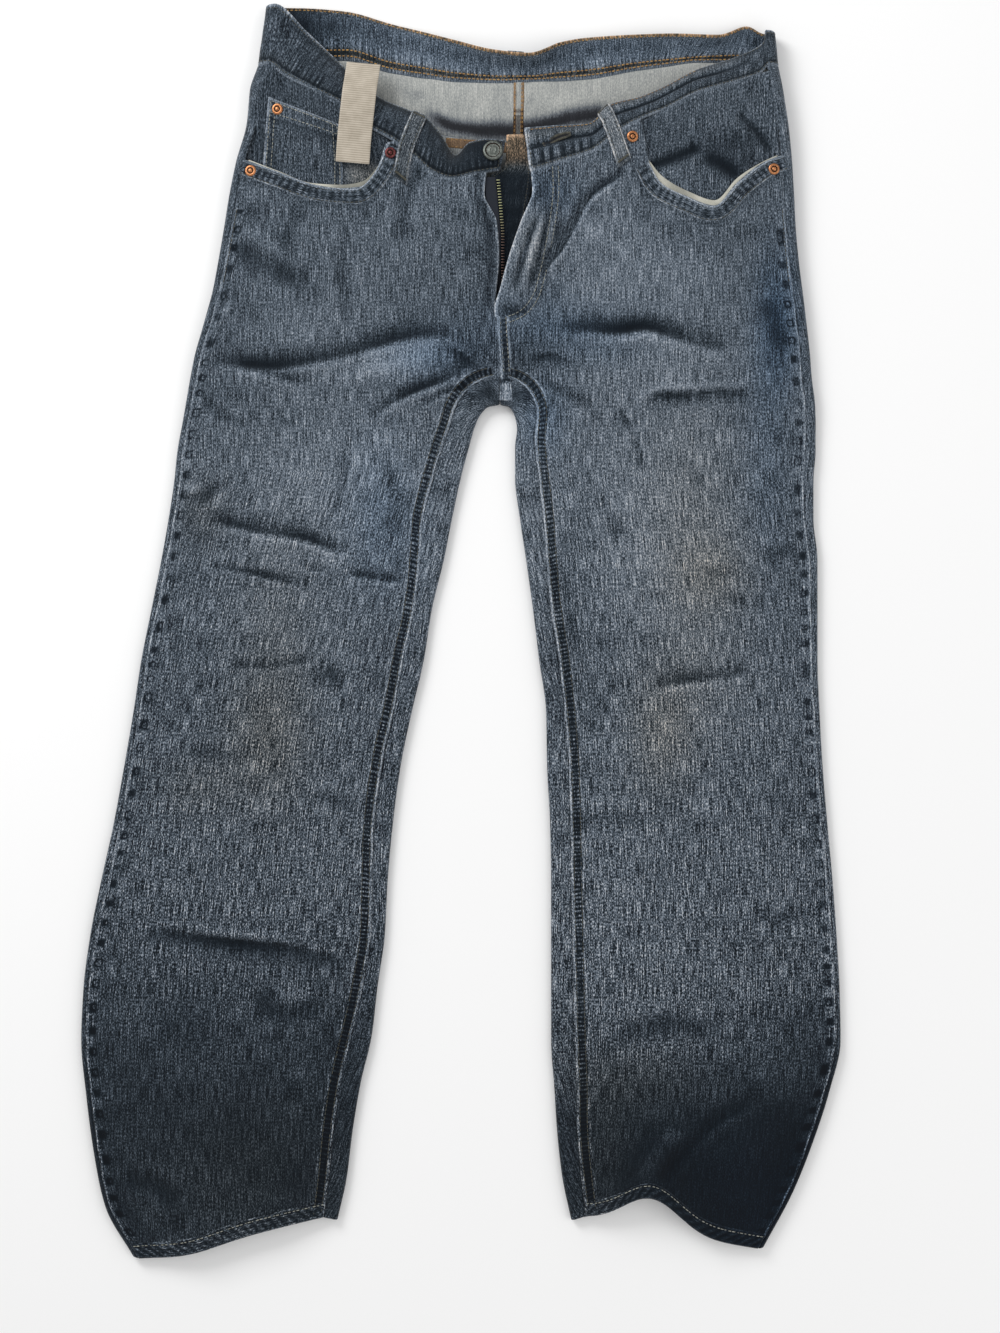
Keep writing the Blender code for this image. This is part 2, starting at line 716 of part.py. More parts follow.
def yoke(side):
    """The back yoke, from the waistband seam to the back panel, wrapped to the side seam."""
    band = [(row[0], row[1]) for row in BAND_BACK]
    centre_x = CENTRE_BACK[0][0] + SIGN[side] * GAP / 2.0
    columns = [x for x, _ in band if (x - centre_x) * SIGN[side] > 2.0]
    columns.sort(reverse=side == "left")
    seam_side_y = CENTRE_BACK[0][2]
    seam_centre_y = CENTRE_BACK[0][1]
    grid = []
    top_side_y = BAND_FOLD[side][1] - GAP * 3.0
    for side_y in (top_side_y, HIP_ROWS[side][1][1], seam_side_y):
        share = (top_side_y - side_y) / (top_side_y - seam_side_y)
        wrap = outer_wrap(side, side_y)
        line = list(wrap)
        if side_y == top_side_y:
            line[0] = line[0] - np.array((0.0, 1.0, 0.0))
        reach = (seam_centre_y - seam_side_y) / (CENTRE_BACK[0][0] - wrap[-1][0])
        for x in columns + [centre_x]:
            top_y = float(np.interp(x, [p[0] for p in band], [p[1] for p in band])) - GAP * 1.5
            low_y = seam_side_y + reach * (x - wrap[-1][0])
            line.append(np.array((x, top_y + (low_y - top_y) * share, SEAT_LIFT)))
        grid.append(line)
    return cloth(f"yoke_{side}", grid, DENIM, "denim", outside=-SIGN[side])


# ---------------------------------------------------------------- waistband
def band_section(seam, top, crest_share, crest_z):
    """Points across the band on a soft bend from its seam to its top edge."""
    seam = np.asarray(seam, float)
    top = np.asarray(top, float)
    crest = seam + (top - seam) * crest_share
    crest[2] = crest_z
    points = []
    for w in BAND_WIDTHS:
        points.append(seam * (1 - w) ** 2 + crest * 2 * w * (1 - w) + top * w ** 2)
    return points


def band_front_sections(rows, side):
    sections = []
    for seam_x, seam_y, top_x, top_y, top_z in rows:
        seam = front_point(side, seam_x, seam_y)
        sections.append(band_section(seam, (top_x, top_y, top_z), BAND_CREST["front"], seam[2] + 1.2))
    return sections


def band_fold_sections(side):
    """The band folds back on itself at a side of the garment."""
    seam_x, seam_y, top_x, top_y = BAND_FOLD[side]
    radius = float(fold_radius(seam_y))
    sections = []
    for step in FOLD_STEPS:
        angle = step * math.pi / 2.0
        inside = -SIGN[side] * radius * (1.0 - math.cos(angle))
        z = SEAT_LIFT + radius * (1.0 + math.sin(angle))
        seam = (seam_x + inside, seam_y, z)
        sections.append(band_section(seam, (top_x + inside, top_y, z), 0.5, z))
    return sections


def band_back_sections():
    sections = []
    for seam_x, seam_y, *top in BAND_BACK:
        sections.append(band_section((seam_x, seam_y, SEAT_LIFT), top, BAND_CREST["back"], SEAT_LIFT))
    return sections


def band_grid():
    sections = band_front_sections(BAND_BUTTON_END, "right")
    sections += band_fold_sections("right")
    sections += band_back_sections()
    sections += band_fold_sections("left")[::-1]
    sections += band_front_sections(BAND_HOLE_END, "left")
    return sections


def band_point(grid, normals, section, width, out):
    """A point on the band's outer face by section number and share of its width."""
    i = min(int(section), len(grid) - 2)
    column = float(np.interp(width, BAND_WIDTHS, range(len(BAND_WIDTHS))))
    j = min(int(column), len(BAND_WIDTHS) - 2)
    a = section - i
    b = column - j
    weights = (((i, j), (1 - a) * (1 - b)), ((i + 1, j), a * (1 - b)),
               ((i, j + 1), (1 - a) * b), ((i + 1, j + 1), a * b))
    point = sum(grid[m][n] * share for (m, n), share in weights)
    normal = sum(normals[key] * share for key, share in weights)
    return point + normal / np.linalg.norm(normal) * out


# ---------------------------------------------------------------- belt loops
LOOP_WIDTHS = (0.0, 0.2, 0.45, 0.72, 0.98)


def loop_rows(section, slant, width, bands, out):
    """Three points across the loop at each share of the band's width, from the seam up."""
    grid, normals = bands
    spacing = np.linalg.norm(grid[int(section) + 1][0] - grid[int(section)][0])
    half = width / 2.0 / spacing
    rows = []
    for w in LOOP_WIDTHS:
        middle = section + slant * (w - 0.5)
        rows.append([band_point(grid, normals, middle + k * half, w, out) for k in (-1, 0, 1)])
    return rows


def front_loop(name, section, slant, width, tail, bands, panel):
    """A strip over the band, its tail tacked on the panel below."""
    out = LAY_GAP + LOOP_WALL
    rows = loop_rows(section, slant, width, bands, out + CURVE_CLEAR)
    for share in (0.5, 1.0):
        line = []
        for point in rows[-len(LOOP_WIDTHS)]:
            x = point[0] + tail[0] * share
            y = point[1] + tail[1] * share
            line.append(np.array((x, y, height_on(panel, x, y) + out + 0.2)))
        rows.insert(0, line)
    return cloth(name, rows, LOOP_WALL, "denim", straight_down=True)


def back_loop(name, section, slant, width, bands):
    rows = loop_rows(section, slant, width, bands, GAP)
    rows.insert(0, [point - np.array((0.0, LOOP_FOOT, 0.0)) for point in rows[0]])
    return cloth(name, rows, LOOP_WALL, "denim")


# ---------------------------------------------------------------- pockets
def facing_drop(side, x, y):
    """How far a pocket facing lies under the front's level."""
    line = FACING_TOP[side]
    turn = -SIGN[side]
    seam_y = float(np.interp(x * turn, [p[0] * turn for p in line], [p[1] for p in line]))
    edge_x = float(at_y(side_rows(side), y, 0, 1)) - SIGN[side] * float(at_y(side_rows(side), y, 2, 1))
    inner_x = line[-1][0]
    under_panel = float(smooth((412.0 - y) / 16.0))
    under_corner = float(smooth(1.0 - (abs(x - inner_x) - 12.0) / 18.0))
    sag = 0.5 * float(smooth((seam_y - y) / 25.0)) * float(smooth(abs(x - edge_x) / 20.0))
    return FACING_DEPTH[side] * max(under_panel, under_corner, sag)


def facing_point(side, x, y, up=0.0):
    return front_point("right", x, y, up - facing_drop(side, x, y))


def facing_grid(side):
    rows = side_rows(side)
    low_y = FACING_LOW_Y[side]
    top = FACING_TOP[side]
    grid = []
    for side_y in (top[0][1],) + FACING_SIDE_Y + (low_y,):
        share = (top[0][1] - side_y) / (top[0][1] - low_y)
        line = []
        for number, (x, y) in enumerate(top):
            row_y = y + (low_y - y) * share
            if number == 0:
                seam = float(at_y(rows, row_y, 2, 1)) + GAP / 2.0
                x = float(at_y(rows, row_y, 0, 1)) - SIGN[side] * seam
            line.append(facing_point(side, x, row_y))
        grid.append(line)
    return grid


def pocket_facing(side):
    return cloth(f"pocket_facing_{side}", facing_grid(side), DENIM, "facing", straight_down=True)


def coin_pocket(facing):
    """A small patch pocket made from the facing's surface, moved up."""
    grid = []
    for low, high, shares in ((0, 1, (0.0, 0.25, 0.5, 0.75)), (1, 2, (0.0, 0.5, 1.0))):
        for share in shares:
            left = np.array(COIN_LEFT[low]) * (1 - share) + np.array(COIN_LEFT[high]) * share
            right = np.array(COIN_RIGHT[low]) * (1 - share) + np.array(COIN_RIGHT[high]) * share
            line = []
            for across in (0.0, 0.2, 0.4, 0.6, 0.8, 1.0):
                x, y = left + (right - left) * across
                z = height_on(facing, x, y) + LAY_GAP + CURVE_CLEAR + COIN_WALL
                line.append(np.array((x, y, z)))
            grid.append(line)
    return cloth("coin_pocket", grid, COIN_WALL, "facing", straight_down=True)


def pocket_bag(side):
    """The cotton bag: its front layer hangs from the opening, its back layer is under the facing."""
    under = DENIM + LAY_GAP
    deep = FACING_DEPTH[side] + DENIM + 3.5 * LAY_GAP + BAG_WALL
    plan = [line[:BAG_COLUMNS] for line in front_rows(side)[:TOP_ROWS + 1]]
    peek = []
    for point, (_, _, show) in zip(plan[0], FRONT_TOP[side]):
        peek.append(point + np.array((0.0, show)))
    # the bag's sides stay clear of the side seam
    for line in plan + [peek]:
        line[0] = line[0] - np.array((SIGN[side] * 3.0, 0.0))
    front = [[front_point("right", x, y, -under) for x, y in line] for line in [peek] + plan]
    bend = (deep - under) / 2.0
    low = plan[-1]
    fold = []
    for angle in (0.5, 0.0, -0.5):
        turn = angle * math.pi / 2.0
        out = bend * math.cos(turn)
        drop = under + bend - bend * math.sin(turn)
        fold.append([front_point("right", x, y - out, -drop) for x, y in low])
    back = [[front_point("right", x, y, -deep) for x, y in line] for line in plan[::-1]]
    return cloth(f"pocket_bag_{side}", front + fold + back, BAG_WALL, "cotton", outside=SIGN[side])


def back_pocket(side):
    """A five-cornered patch under the seat, its outer face on the surface."""
    middle = POCKET_MIDDLE_X[side]
    outline = (
        (-POCKET_HALF_TOP, 0.0),
        (POCKET_HALF_TOP, 0.0),
        (POCKET_HALF_LOW, -POCKET_SHOULDER),
        (0.0, -POCKET_LENGTH),
        (-POCKET_HALF_LOW, -POCKET_SHOULDER),
    )
    points = [(middle + x, POCKET_TOP_Y + y, z) for z in (0.0, DENIM) for x, y in outline]
    count = len(outline)
    faces = [list(range(count)), list(range(2 * count - 1, count - 1, -1))]
    for k in range(count):
        m = (k + 1) % count
        faces.append([m, k, k + count, m + count])
    return make_mesh(f"back_pocket_{side}", points, faces, "denim")


# ---------------------------------------------------------------- fly and zip
def fly_facing():
    """The layer behind the open flap, made from the panel's points."""
    plan = front_rows("left")[:TOP_ROWS + 1]
    grid = []
    for line in plan:
        picked = [np.array(point) for point in line[-4:]]
        picked[-1][0] += 1.5
        grid.append([front_point("left", x, y, -DENIM - LAY_GAP) for x, y in picked])
    grid[0] = [point + (below - point) * 0.08 for point, below in zip(grid[0], grid[1])]
    return cloth("fly_facing", grid, 0.8, "facing", straight_down=True)


def fly_shield():
    grid = []
    for y, x_from, x_to, depth in SHIELD_ROWS:
        line = []
        for share in (0.0, 0.5, 1.0):
            line.append(front_point("right", x_from + (x_to - x_from) * share, y, -depth))
        grid.append(line)
    return cloth("fly_shield", grid, SHIELD_WALL, "shield", straight_down=True)


def chain_level(side, x, y):
    """Depth of a tape's upper face under the front panels' level."""
    low = -DENIM - LAY_GAP - CHAIN_DIP * float(smooth((302.0 - y) / 12.0))
    if side == "right":
        return low
    high = float(flap_lift(x, y)) - DENIM - 0.8 - LAY_GAP - 3.6
    share = float(smooth((y - 288.0) / 20.0))
    return low + (high - low) * share


def zip_side(side):
    """One tape and the chain on its edge; the teeth are too small for this model."""
    column = 1 if side == "right" else 2
    away = SIGN[side]
    tape = []
    chain = []
    for row in CHAIN_ROWS:
        y = row[0]
        centre = row[column]
        near = centre + away * (CHAIN_WIDTH / 2.0 + GAP)
        line = [front_point("right", near + away * TAPE_WIDTH * k / 2.0, y,
                            chain_level(side, near, y)) for k in range(3)]
        level = line[0][2]
        for point in line:
            point[2] = min(point[2], level)
        tape.append(line)
        top = level + (CHAIN_WALL - TAPE_WALL) / 2.0
        half = CHAIN_WIDTH / 2.0
        chain.append([np.array((centre + k * half, y, top)) for k in (-1.0, 0.0, 1.0)])
    cloth(f"zip_tape_{side}", tape, TAPE_WALL, "tape", straight_down=True)
    cloth(f"zip_chain_{side}", chain, CHAIN_WALL, "brass", straight_down=True)


def box_mesh(name, low, high, kind):
    points = [(x, y, z) for z in (low[2], high[2])
              for x, y in ((low[0], low[1]), (high[0], low[1]), (high[0], high[1]), (low[0], high[1]))]
    faces = [[0, 3, 2, 1], [4, 5, 6, 7]] + [[k, (k + 1) % 4, (k + 1) % 4 + 4, k + 4] for k in range(4)]
    return make_mesh(name, points, faces, kind)


def prism_mesh(name, outline, x_from, x_to, kind):
    """An outline of y, z, drawn out along X."""
    count = len(outline)
    points = [(x, y, z) for x in (x_from, x_to) for y, z in outline]
    faces = [list(range(count)), list(range(2 * count - 1, count - 1, -1))]
    faces += [[k, (k + 1) % count, (k + 1) % count + count, k + count] for k in range(count)]
    return make_mesh(name, points, faces, kind)


def zip_slider():
    """The slider's body with its hooked bridge, through which the pull tab hangs."""
    x, y = SLIDER_CENTRE
    level = float(front_z(x, y)) - SLIDER_DEPTH
    half_x = SLIDER_SIZE[0] / 2.0
    half_y = SLIDER_SIZE[1] / 2.0
    top = level + SLIDER_SIZE[2]
    low = (x - half_x, y - half_y, level)
    body = box_mesh("zip_slider", low, (x + half_x, y + half_y, top), "brass")
    edges = body.modifiers.new("Bevel", "BEVEL")
    edges.width = 0.6 * MM
    edges.segments = 2
    room = TAB_SIZE[2] + 2.0 * TAB_CLEAR
    beam = 0.8
    hook = (
        (y - 4.2, top - 0.8),
        (y - 3.2, top - 0.8),
        (y - 3.2, top + room),
        (y + 2.2, top + room),
        (y + 2.2, top + 0.3),
        (y + 3.0, top + 0.3),
        (y + 3.0, top + room + beam),
        (y - 4.2, top + room + beam),
    )
    bridge = prism_mesh("bridge_cutter", hook, x - 1.0, x + 1.0, "brass")
    bridge.hide_render = True
    bridge.display_type = "WIRE"
    join = body.modifiers.new("Bridge", "BOOLEAN")
    join.operation = "UNION"
    join.solver = "EXACT"
    join.object = bridge
    return top


def pull_tab(slider_top):
    """A plate with a slot round the bridge; its origin is on its hinge line."""
    x, y = SLIDER_CENTRE
    hinge_y = y - 1.9
    hinge_z = slider_top + TAB_CLEAR + TAB_SIZE[2] / 2.0
    half = TAB_SIZE[0] / 2.0
    thick = TAB_SIZE[2] / 2.0
    low = -0.9
    high = low + TAB_SIZE[1]
    slot = 1.6
    outer = ((-half, low), (half, low), (half, high - 2.0), (half - 1.5, high),
             (1.5 - half, high), (-half, high - 2.0))
    inner = ((-slot, 0.9), (slot, 0.9), (slot, 6.6), (slot * 0.5, 7.2), (-slot * 0.5, 7.2), (-slot, 6.6))
    points = [(px, py, z) for z in (-thick, thick) for ring in (outer, inner) for px, py in ring]
    count = len(outer)
    faces = []
    for k in range(count):
        m = (k + 1) % count
        faces.append([k, m, count + m, count + k])
        faces.append([2 * count + m, 2 * count + k, 3 * count + k, 3 * count + m])
        faces.append([m, k, 2 * count + k, 2 * count + m])
        faces.append([count + k, count + m, 3 * count + m, 3 * count + k])
    tab = make_mesh("zip_pull_tab", points, faces, "brass")
    tab.location = (x * MM, hinge_y * MM, hinge_z * MM)
    return tab


# ---------------------------------------------------------------- metal and label
BUTTON_PROFILE = ((0.0, 0.0), (3.4, 0.0), (3.4, 1.5), (8.0, 1.5), (8.5, 2.4), (8.0, 3.5), (6.6, 3.9),
                  (5.8, 3.3), (3.4, 3.4), (2.6, 3.8), (0.0, 4.0))
RIVET_PROFILE = ((0.0, 0.0), (4.5, 0.0), (4.7, 0.5), (4.1, 1.2), (2.4, 1.0), (1.5, 1.3),
                 (1.0, 1.9), (0.0, 2.0))


def front_normal(side, x, y, step=3.0):
    slope_x = (front_point(side, x + step, y)[2] - front_point(side, x - step, y)[2]) / (2 * step)
    slope_y = (front_point(side, x, y + step)[2] - front_point(side, x, y - step)[2]) / (2 * step)
    return np.array((-slope_x, -slope_y, 1.0))


def rivets(surfaces):
    """Five copper rivets: one on the coin pocket and one at each end of both openings."""
    # name, surface, wearer's side, x, y, height over the surface
    on_coin = LAY_GAP + CURVE_CLEAR + COIN_WALL + RIVET_LIFT + LAY_GAP
    places = (
        ("rivet_coin_pocket", "facing", "right", -149.0, 425.6, on_coin),
        ("rivet_pocket_right_outer", "right", "right", -171.0, 376.0, RIVET_LIFT + LAY_GAP),
        ("rivet_pocket_right_inner", "right", "right", -56.8, 388.8, RIVET_LIFT),
        ("rivet_pocket_left_inner", "left", "left", 139.4, 402.0, RIVET_LIFT),
        ("rivet_pocket_left_outer", "left", "left", 255.0, 377.4, RIVET_LIFT),
    )
    for name, surface, side, x, y, up in places:
        centre = np.array((x, y, height_on(surfaces[surface], x, y) + up))
        turned(name, RIVET_PROFILE, centre, front_normal(side, x, y), "copper")


def button(bands):
    centre = band_point(*bands, 0.55, 0.52, 0.5)
    above = band_point(*bands, 0.55, 0.52, 1.5)
    turned("button", BUTTON_PROFILE, centre, above - centre, "pewter", sides=20)


def care_label():
    grid = []
    for x, y, up in LABEL_ROWS:
        z = float(front_z(x, y)) + up + LABEL_WALL
        half = LABEL_WIDTH / 2.0
        slant = 0.09 * half
        grid.append([np.array((x + k * half, y - k * slant, z)) for k in (-1.0, 0.0, 1.0)])
    return cloth("care_label", grid, LABEL_WALL, "label", straight_down=True)


# ---------------------------------------------------------------- the garment
for old in list(bpy.data.objects):
    bpy.data.objects.remove(old, do_unlink=True)

garment = bpy.data.objects.new("garment", None)
bpy.context.scene.collection.objects.link(garment)

for wearer_side in ("right", "left"):
    front_panel(wearer_side)
    back_panel(wearer_side)
    yoke(wearer_side)
    pocket_facing(wearer_side)
    pocket_bag(wearer_side)
    back_pocket(wearer_side)
    zip_side(wearer_side)

BAND = band_grid()
BAND_NORMALS = grid_normals(BAND, grid_quads(BAND), 1.0)
cloth("waistband", BAND, BAND_WALL, "denim", outside=1.0)
SURFACES = {"right": front_grid("right"), "left": front_grid("left"), "facing": facing_grid("right")}
for loop_name, loop_section, loop_slant, loop_width, *loop_tail in FRONT_LOOPS:
    loop_panel = SURFACES[loop_name.rsplit("_", 1)[1]]
    front_loop(loop_name, loop_section, loop_slant, loop_width, loop_tail, (BAND, BAND_NORMALS),
               loop_panel)
for loop_name, loop_section, loop_slant, loop_width in BACK_LOOPS:
    back_loop(loop_name, loop_section, loop_slant, loop_width, (BAND, BAND_NORMALS))

coin_pocket(SURFACES["facing"])
fly_facing()
fly_shield()
pull_tab(zip_slider())
rivets(SURFACES)
button((BAND, BAND_NORMALS))
care_label()
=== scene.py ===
"""Tapered five-pocket jeans, laid flat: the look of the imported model.

Tables and sizes are in millimetres, in the model's frame; "right" and "left" are the
wearer's, so the right leg lies on the -X side. The tables repeat those of the solids.
"""
import math

import bpy
import mathutils
import numpy as np
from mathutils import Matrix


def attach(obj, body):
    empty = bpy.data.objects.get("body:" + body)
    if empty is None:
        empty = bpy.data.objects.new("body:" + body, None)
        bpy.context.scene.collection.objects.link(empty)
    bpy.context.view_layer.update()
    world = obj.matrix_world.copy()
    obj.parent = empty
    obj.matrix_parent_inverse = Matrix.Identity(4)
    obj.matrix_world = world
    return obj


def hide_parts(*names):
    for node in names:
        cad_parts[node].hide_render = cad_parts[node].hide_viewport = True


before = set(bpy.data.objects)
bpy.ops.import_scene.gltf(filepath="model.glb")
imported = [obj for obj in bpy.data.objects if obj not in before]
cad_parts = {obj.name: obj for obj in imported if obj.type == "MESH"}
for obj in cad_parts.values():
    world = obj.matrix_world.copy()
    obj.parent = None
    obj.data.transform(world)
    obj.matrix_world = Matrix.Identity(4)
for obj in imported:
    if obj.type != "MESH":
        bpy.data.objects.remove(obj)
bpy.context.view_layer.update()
MM = 0.001
GARMENT = "garment"
TAU = 2 * math.pi
UP = np.array((0.0, 0.0, 1.0))
DOWN = np.array((0.0, 0.0, -1.0))
SIGN = {"right": -1.0, "left": 1.0}

# ---- Driving sizes (millimetres) ----
DENIM = 1.2  # wall of one layer of denim
BAND_WALL = 2.4  # the waistband is denim sewn double
SHIELD_WALL = 2.0  # the fly shield is denim sewn double
BAG_WALL = 0.6  # cotton of the pocket bags
COIN_WALL = 1.0
LOOP_WALL = 1.2
LOOP_FOOT = 10.0  # the back loops are tacked this far below the band
TAPE_WALL = 0.6
TAPE_WIDTH = 9.0
CHAIN_WIDTH = 3.8
CHAIN_WALL = 2.1
CHAIN_DIP = 1.7  # the chains run down into the slider, under the pull tab
LABEL_WIDTH = 27.0
LABEL_WALL = 0.6
GAP = 0.3  # clearance between pieces at a seam
LAY_GAP = 0.4  # clearance between a piece and the panel under it
CURVE_CLEAR = 0.3  # more clearance where a piece lies on a curved face
DOME_REACH = 60.0  # how far in from a folded edge the upper layer goes on rising
SEAT_LIFT = 1.6  # the seat lies on its back pockets and belt loops
FLAP_LIFT = 8.0  # height of the soft ridge along the open fly
FLAP_EDGE = 0.8  # share of that height at the flap's very edge
BAND_DEPTH = 38.0  # the waistband's width, for its puckers and rolls

# ---- Back pockets: their middles, mouth, half widths at the mouth and shoulder, and lengths ----
POCKET_MIDDLE_X = {"right": -68.0, "left": 156.0}
POCKET_TOP_Y = 376.0
POCKET_HALF_TOP = 73.0
POCKET_HALF_LOW = 64.0
POCKET_SHOULDER = 132.0
POCKET_LENGTH = 158.0

# ---- How thick the flat garment lies: y, fold radius of its edges, rise of the upper layer ----
THICKNESS_ROWS = (
    (470, 8, 7), (416, 7, 8), (375, 6, 9), (326, 5.4, 9.5), (277, 4.9, 9), (228, 4.4, 8.5),
    (170, 3.8, 7.5), (92, 3.4, 7.5), (-500, 3.4, 7),
)

# ---- Side edges of the hips: edge_x, y, side seam inside the edge ----
HIP_ROWS = {"right": (
    (-165.6, 462.5, 9.3), (-172.2, 442.8, 8.8), (-174.7, 416.6, 8.3), (-183.5, 385, 7.6),
    (-189.1, 358, 7.2), (-193.5, 331, 7), (-198.2, 304, 6.7), (-203.4, 277.2, 6.4), (-207.6, 262, 6.2),
    (-212.4, 245, 6),
), "left": (
    (259.1, 462.5, 9.6), (263.2, 442.8, 9.4), (267.3, 416.6, 9.2), (270.6, 385, 9), (272.3, 358, 9),
    (273.7, 331, 9), (276.2, 304, 9), (279.6, 277.2, 9), (281.5, 262, 9), (283.5, 245, 9),
)}

# ---- Legs, one row for each section: outer_x, outer_y, inner_x, inner_y, side_seam, inseam ----
LEG_ROWS = {"right": (
    (-217.3, 228, 32, 187, 5.8, 22), (-221.4, 207.5, 22.1, 184.5, 5.4, 21.5),
    (-224.7, 188.6, 14.8, 176.3, 5.2, 21), (-228, 170.6, 10.7, 166.5, 5, 20),
    (-232.1, 148.4, 6.6, 151.7, 5, 21), (-234.5, 125.5, 0, 127.1, 4.9, 22),
    (-239.4, 92.7, -7.4, 92.7, 4.8, 23.5), (-245.2, 59.9, -13.9, 59.9, 4.8, 20),
    (-253.4, 18.9, -23.8, 18.9, 4.8, 14.5), (-261.6, -22.1, -30.3, -22.1, 5, 17),
    (-268.1, -64.8, -40.2, -64.8, 5.8, 15), (-275.5, -108.2, -49.2, -108.2, 5.8, 15.5),
    (-284.5, -157.4, -55.8, -157.4, 6.2, 15.5), (-294.4, -202.5, -59.9, -202.5, 6.4, 13),
    (-303.4, -247.6, -62.3, -247.6, 5.6, 12), (-309.1, -292.7, -68.1, -288.6, 5, 12.5),
    (-310.8, -333.7, -73, -329.6, 5, 16.5), (-306.7, -378.8, -82, -368.2, 5, 16.5),
    (-300.1, -428, -88.6, -407.5, 5, 16), (-291.1, -469, -93.5, -446.1, 5, 15),
    (-268.1, -507.6, -100.9, -479.7, 5, 12),
), "left": (
    (285.4, 228, 32, 187, 9, 22), (287, 207.5, 39.4, 184.5, 9, 21), (289.5, 188.6, 44.3, 176.3, 9, 19),
    (290.3, 170.6, 45.9, 166.5, 9, 15.5), (290.3, 148.4, 44.3, 151.7, 9, 17),
    (288.6, 125.5, 44.3, 127.1, 8.8, 19.5), (288.6, 92.7, 48.4, 92.7, 8, 19.5),
    (291.9, 59.9, 53.3, 59.9, 7, 17), (291.9, 18.9, 59, 18.9, 6, 15), (291.9, -22.1, 64, -22.1, 5.2, 16.5),
    (293.6, -64.8, 69.7, -64.8, 4.8, 15.5), (296, -108.2, 70.5, -108.2, 4.8, 18),
    (300.1, -157.4, 73, -157.4, 4.8, 17), (304.2, -202.5, 73.8, -202.5, 4.8, 17),
    (307.5, -247.6, 73.8, -247.6, 4.8, 18), (310, -292.7, 73.8, -292.7, 4.8, 19),
    (310.8, -333.7, 73.8, -333.7, 4.8, 20), (301.8, -374.7, 76.3, -370.6, 4.8, 19),
    (288.6, -415.7, 78.7, -407.5, 4.8, 17), (272.2, -456.7, 82.8, -444.4, 4.8, 16),
    (247.6, -502.7, 90.2, -480.5, 4.8, 13),
)}
# How far each back panel leaves the floor for its inner wrap, from the crotch down
INNER_FLOOR = (45, 30, 22, 16, 12)

# ---- Top edge of each front panel, from the side seam to the fly: x, y, bag_peek ----
# The first points are the pocket opening, over which the bag shows by bag_peek;
# the rest follow the waistband seam and have no bag.
FRONT_TOP = {"right": (
    (-176.6, 385, 0.5), (-150.1, 374.7, 2.5), (-120.5, 363.3, 3), (-96.8, 360, 8), (-80, 361.5, 11),
    (-67, 377, 4), (-58.8, 397.2, 0.5), (-53.3, 397.9), (-37.7, 385.6), (-23.8, 373.3),
    (-6.6, 368.4), (10.7, 371.7), (20.5, 373.3),
), "left": (
    (262.1, 388.5, 0.5), (247, 382, 1.5), (225.5, 365, 5), (206.6, 346, 5.5), (183.7, 353.4, 6),
    (163, 364, 8), (152.5, 381, 3), (145.3, 415.8, 0.5), (128.7, 406.9), (106.6, 390.5),
    (81.2, 381.5), (68, 376.9), (57.6, 373.3),
)}
BAG_COLUMNS = 7
SHOWN = {"right": 0.4, "left": 0.85}  # how much of the bag strip shows above the opening

# ---- The panels' edges down the fly, with the side seam's y: edge_x, edge_y, side_y ----
FLY_ROWS = {"right": (
    (20.5, 373.3, 385), (18.9, 355.9, 358), (29.3, 332.1, 331), (30.9, 304.2, 304), (28.6, 277, 277.2),
    (27.4, 262, 262), (29.9, 245, 245),
), "left": (
    (57.6, 373.3, 388.5), (58.6, 358, 358), (49, 332, 331), (39.4, 304, 304), (32, 277, 277.2),
    (27.9, 262, 262), (30.4, 245, 245),
)}
TOP_ROWS = 4  # rows of the table above down to the first straight section

# ---- Centre-back seam on the floor: x, y, side_y ----
CENTRE_BACK = (
    (46.7, 396, 436), (46, 380, 416.6), (45, 357, 385), (43.6, 337, 358), (42, 316, 331), (39.8, 294, 304),
    (37.5, 271, 277.2), (35.8, 258, 262), (34, 245.5, 245), (32, 232, 228),
)

# ---- Waistband sections: seam_x, seam_y, top_x, top_y, top_z ----
BAND_BUTTON_END = (
    (31.2, 375.6, 35.3, 400.2, 18), (20.5, 373.9, 20.5, 401.5, 17), (10.7, 372.3, 7.4, 399.3, 15),
    (-6.6, 369, -4.1, 389.5, 12), (-23.8, 373.9, -16.4, 406.7, 13), (-37.7, 386.2, -27.1, 419, 13),
    (-53.3, 398.5, -43.5, 426.4, 13), (-74.6, 410.8, -63.1, 434.6, 12), (-97.6, 429.7, -84.5, 451, 12),
    (-121.4, 441.2, -103.3, 469, 13), (-144.3, 453.5, -125.8, 489, 15.5),
)
BAND_BACK = (
    (-132, 467.4, -132, 510.5, 1.6), (-94.3, 469, -94.3, 507.6, 1.6), (-58.2, 459.2, -58.2, 497.7, 1.6),
    (-26.2, 454.3, -26.2, 489.5, 4), (-3.3, 451.8, -0.8, 482.2, 9), (32, 451, 29.5, 474, 16),
    (54.9, 451.8, 54.9, 471.5, 17), (81.2, 452.6, 81.2, 481.3, 11), (105.8, 454.3, 101.7, 485.4, 6),
    (142.7, 460.8, 142.7, 487.9, 8), (167.3, 464.1, 173, 488.7, 9), (194.3, 467.4, 208.3, 488, 8),
    (228.8, 466.6, 233.7, 495.3, 3),
)
BAND_HOLE_END = (
    (243, 454.8, 246.5, 481, 16.5), (225.5, 448.5, 227.1, 469.9, 15), (189.4, 437.1, 191.9, 458.4, 13),
    (167.3, 425.6, 167.3, 446.1, 12), (146.8, 417.4, 146.8, 437.1, 12), (128.7, 407.5, 122.2, 430.5, 13),
    (106.6, 391.1, 104.1, 414.9, 15), (81.2, 382.1, 77.9, 412.5, 17), (68, 377.5, 64.5, 411.2, 18),
    (57.4, 373.9, 52.5, 410, 19),
)

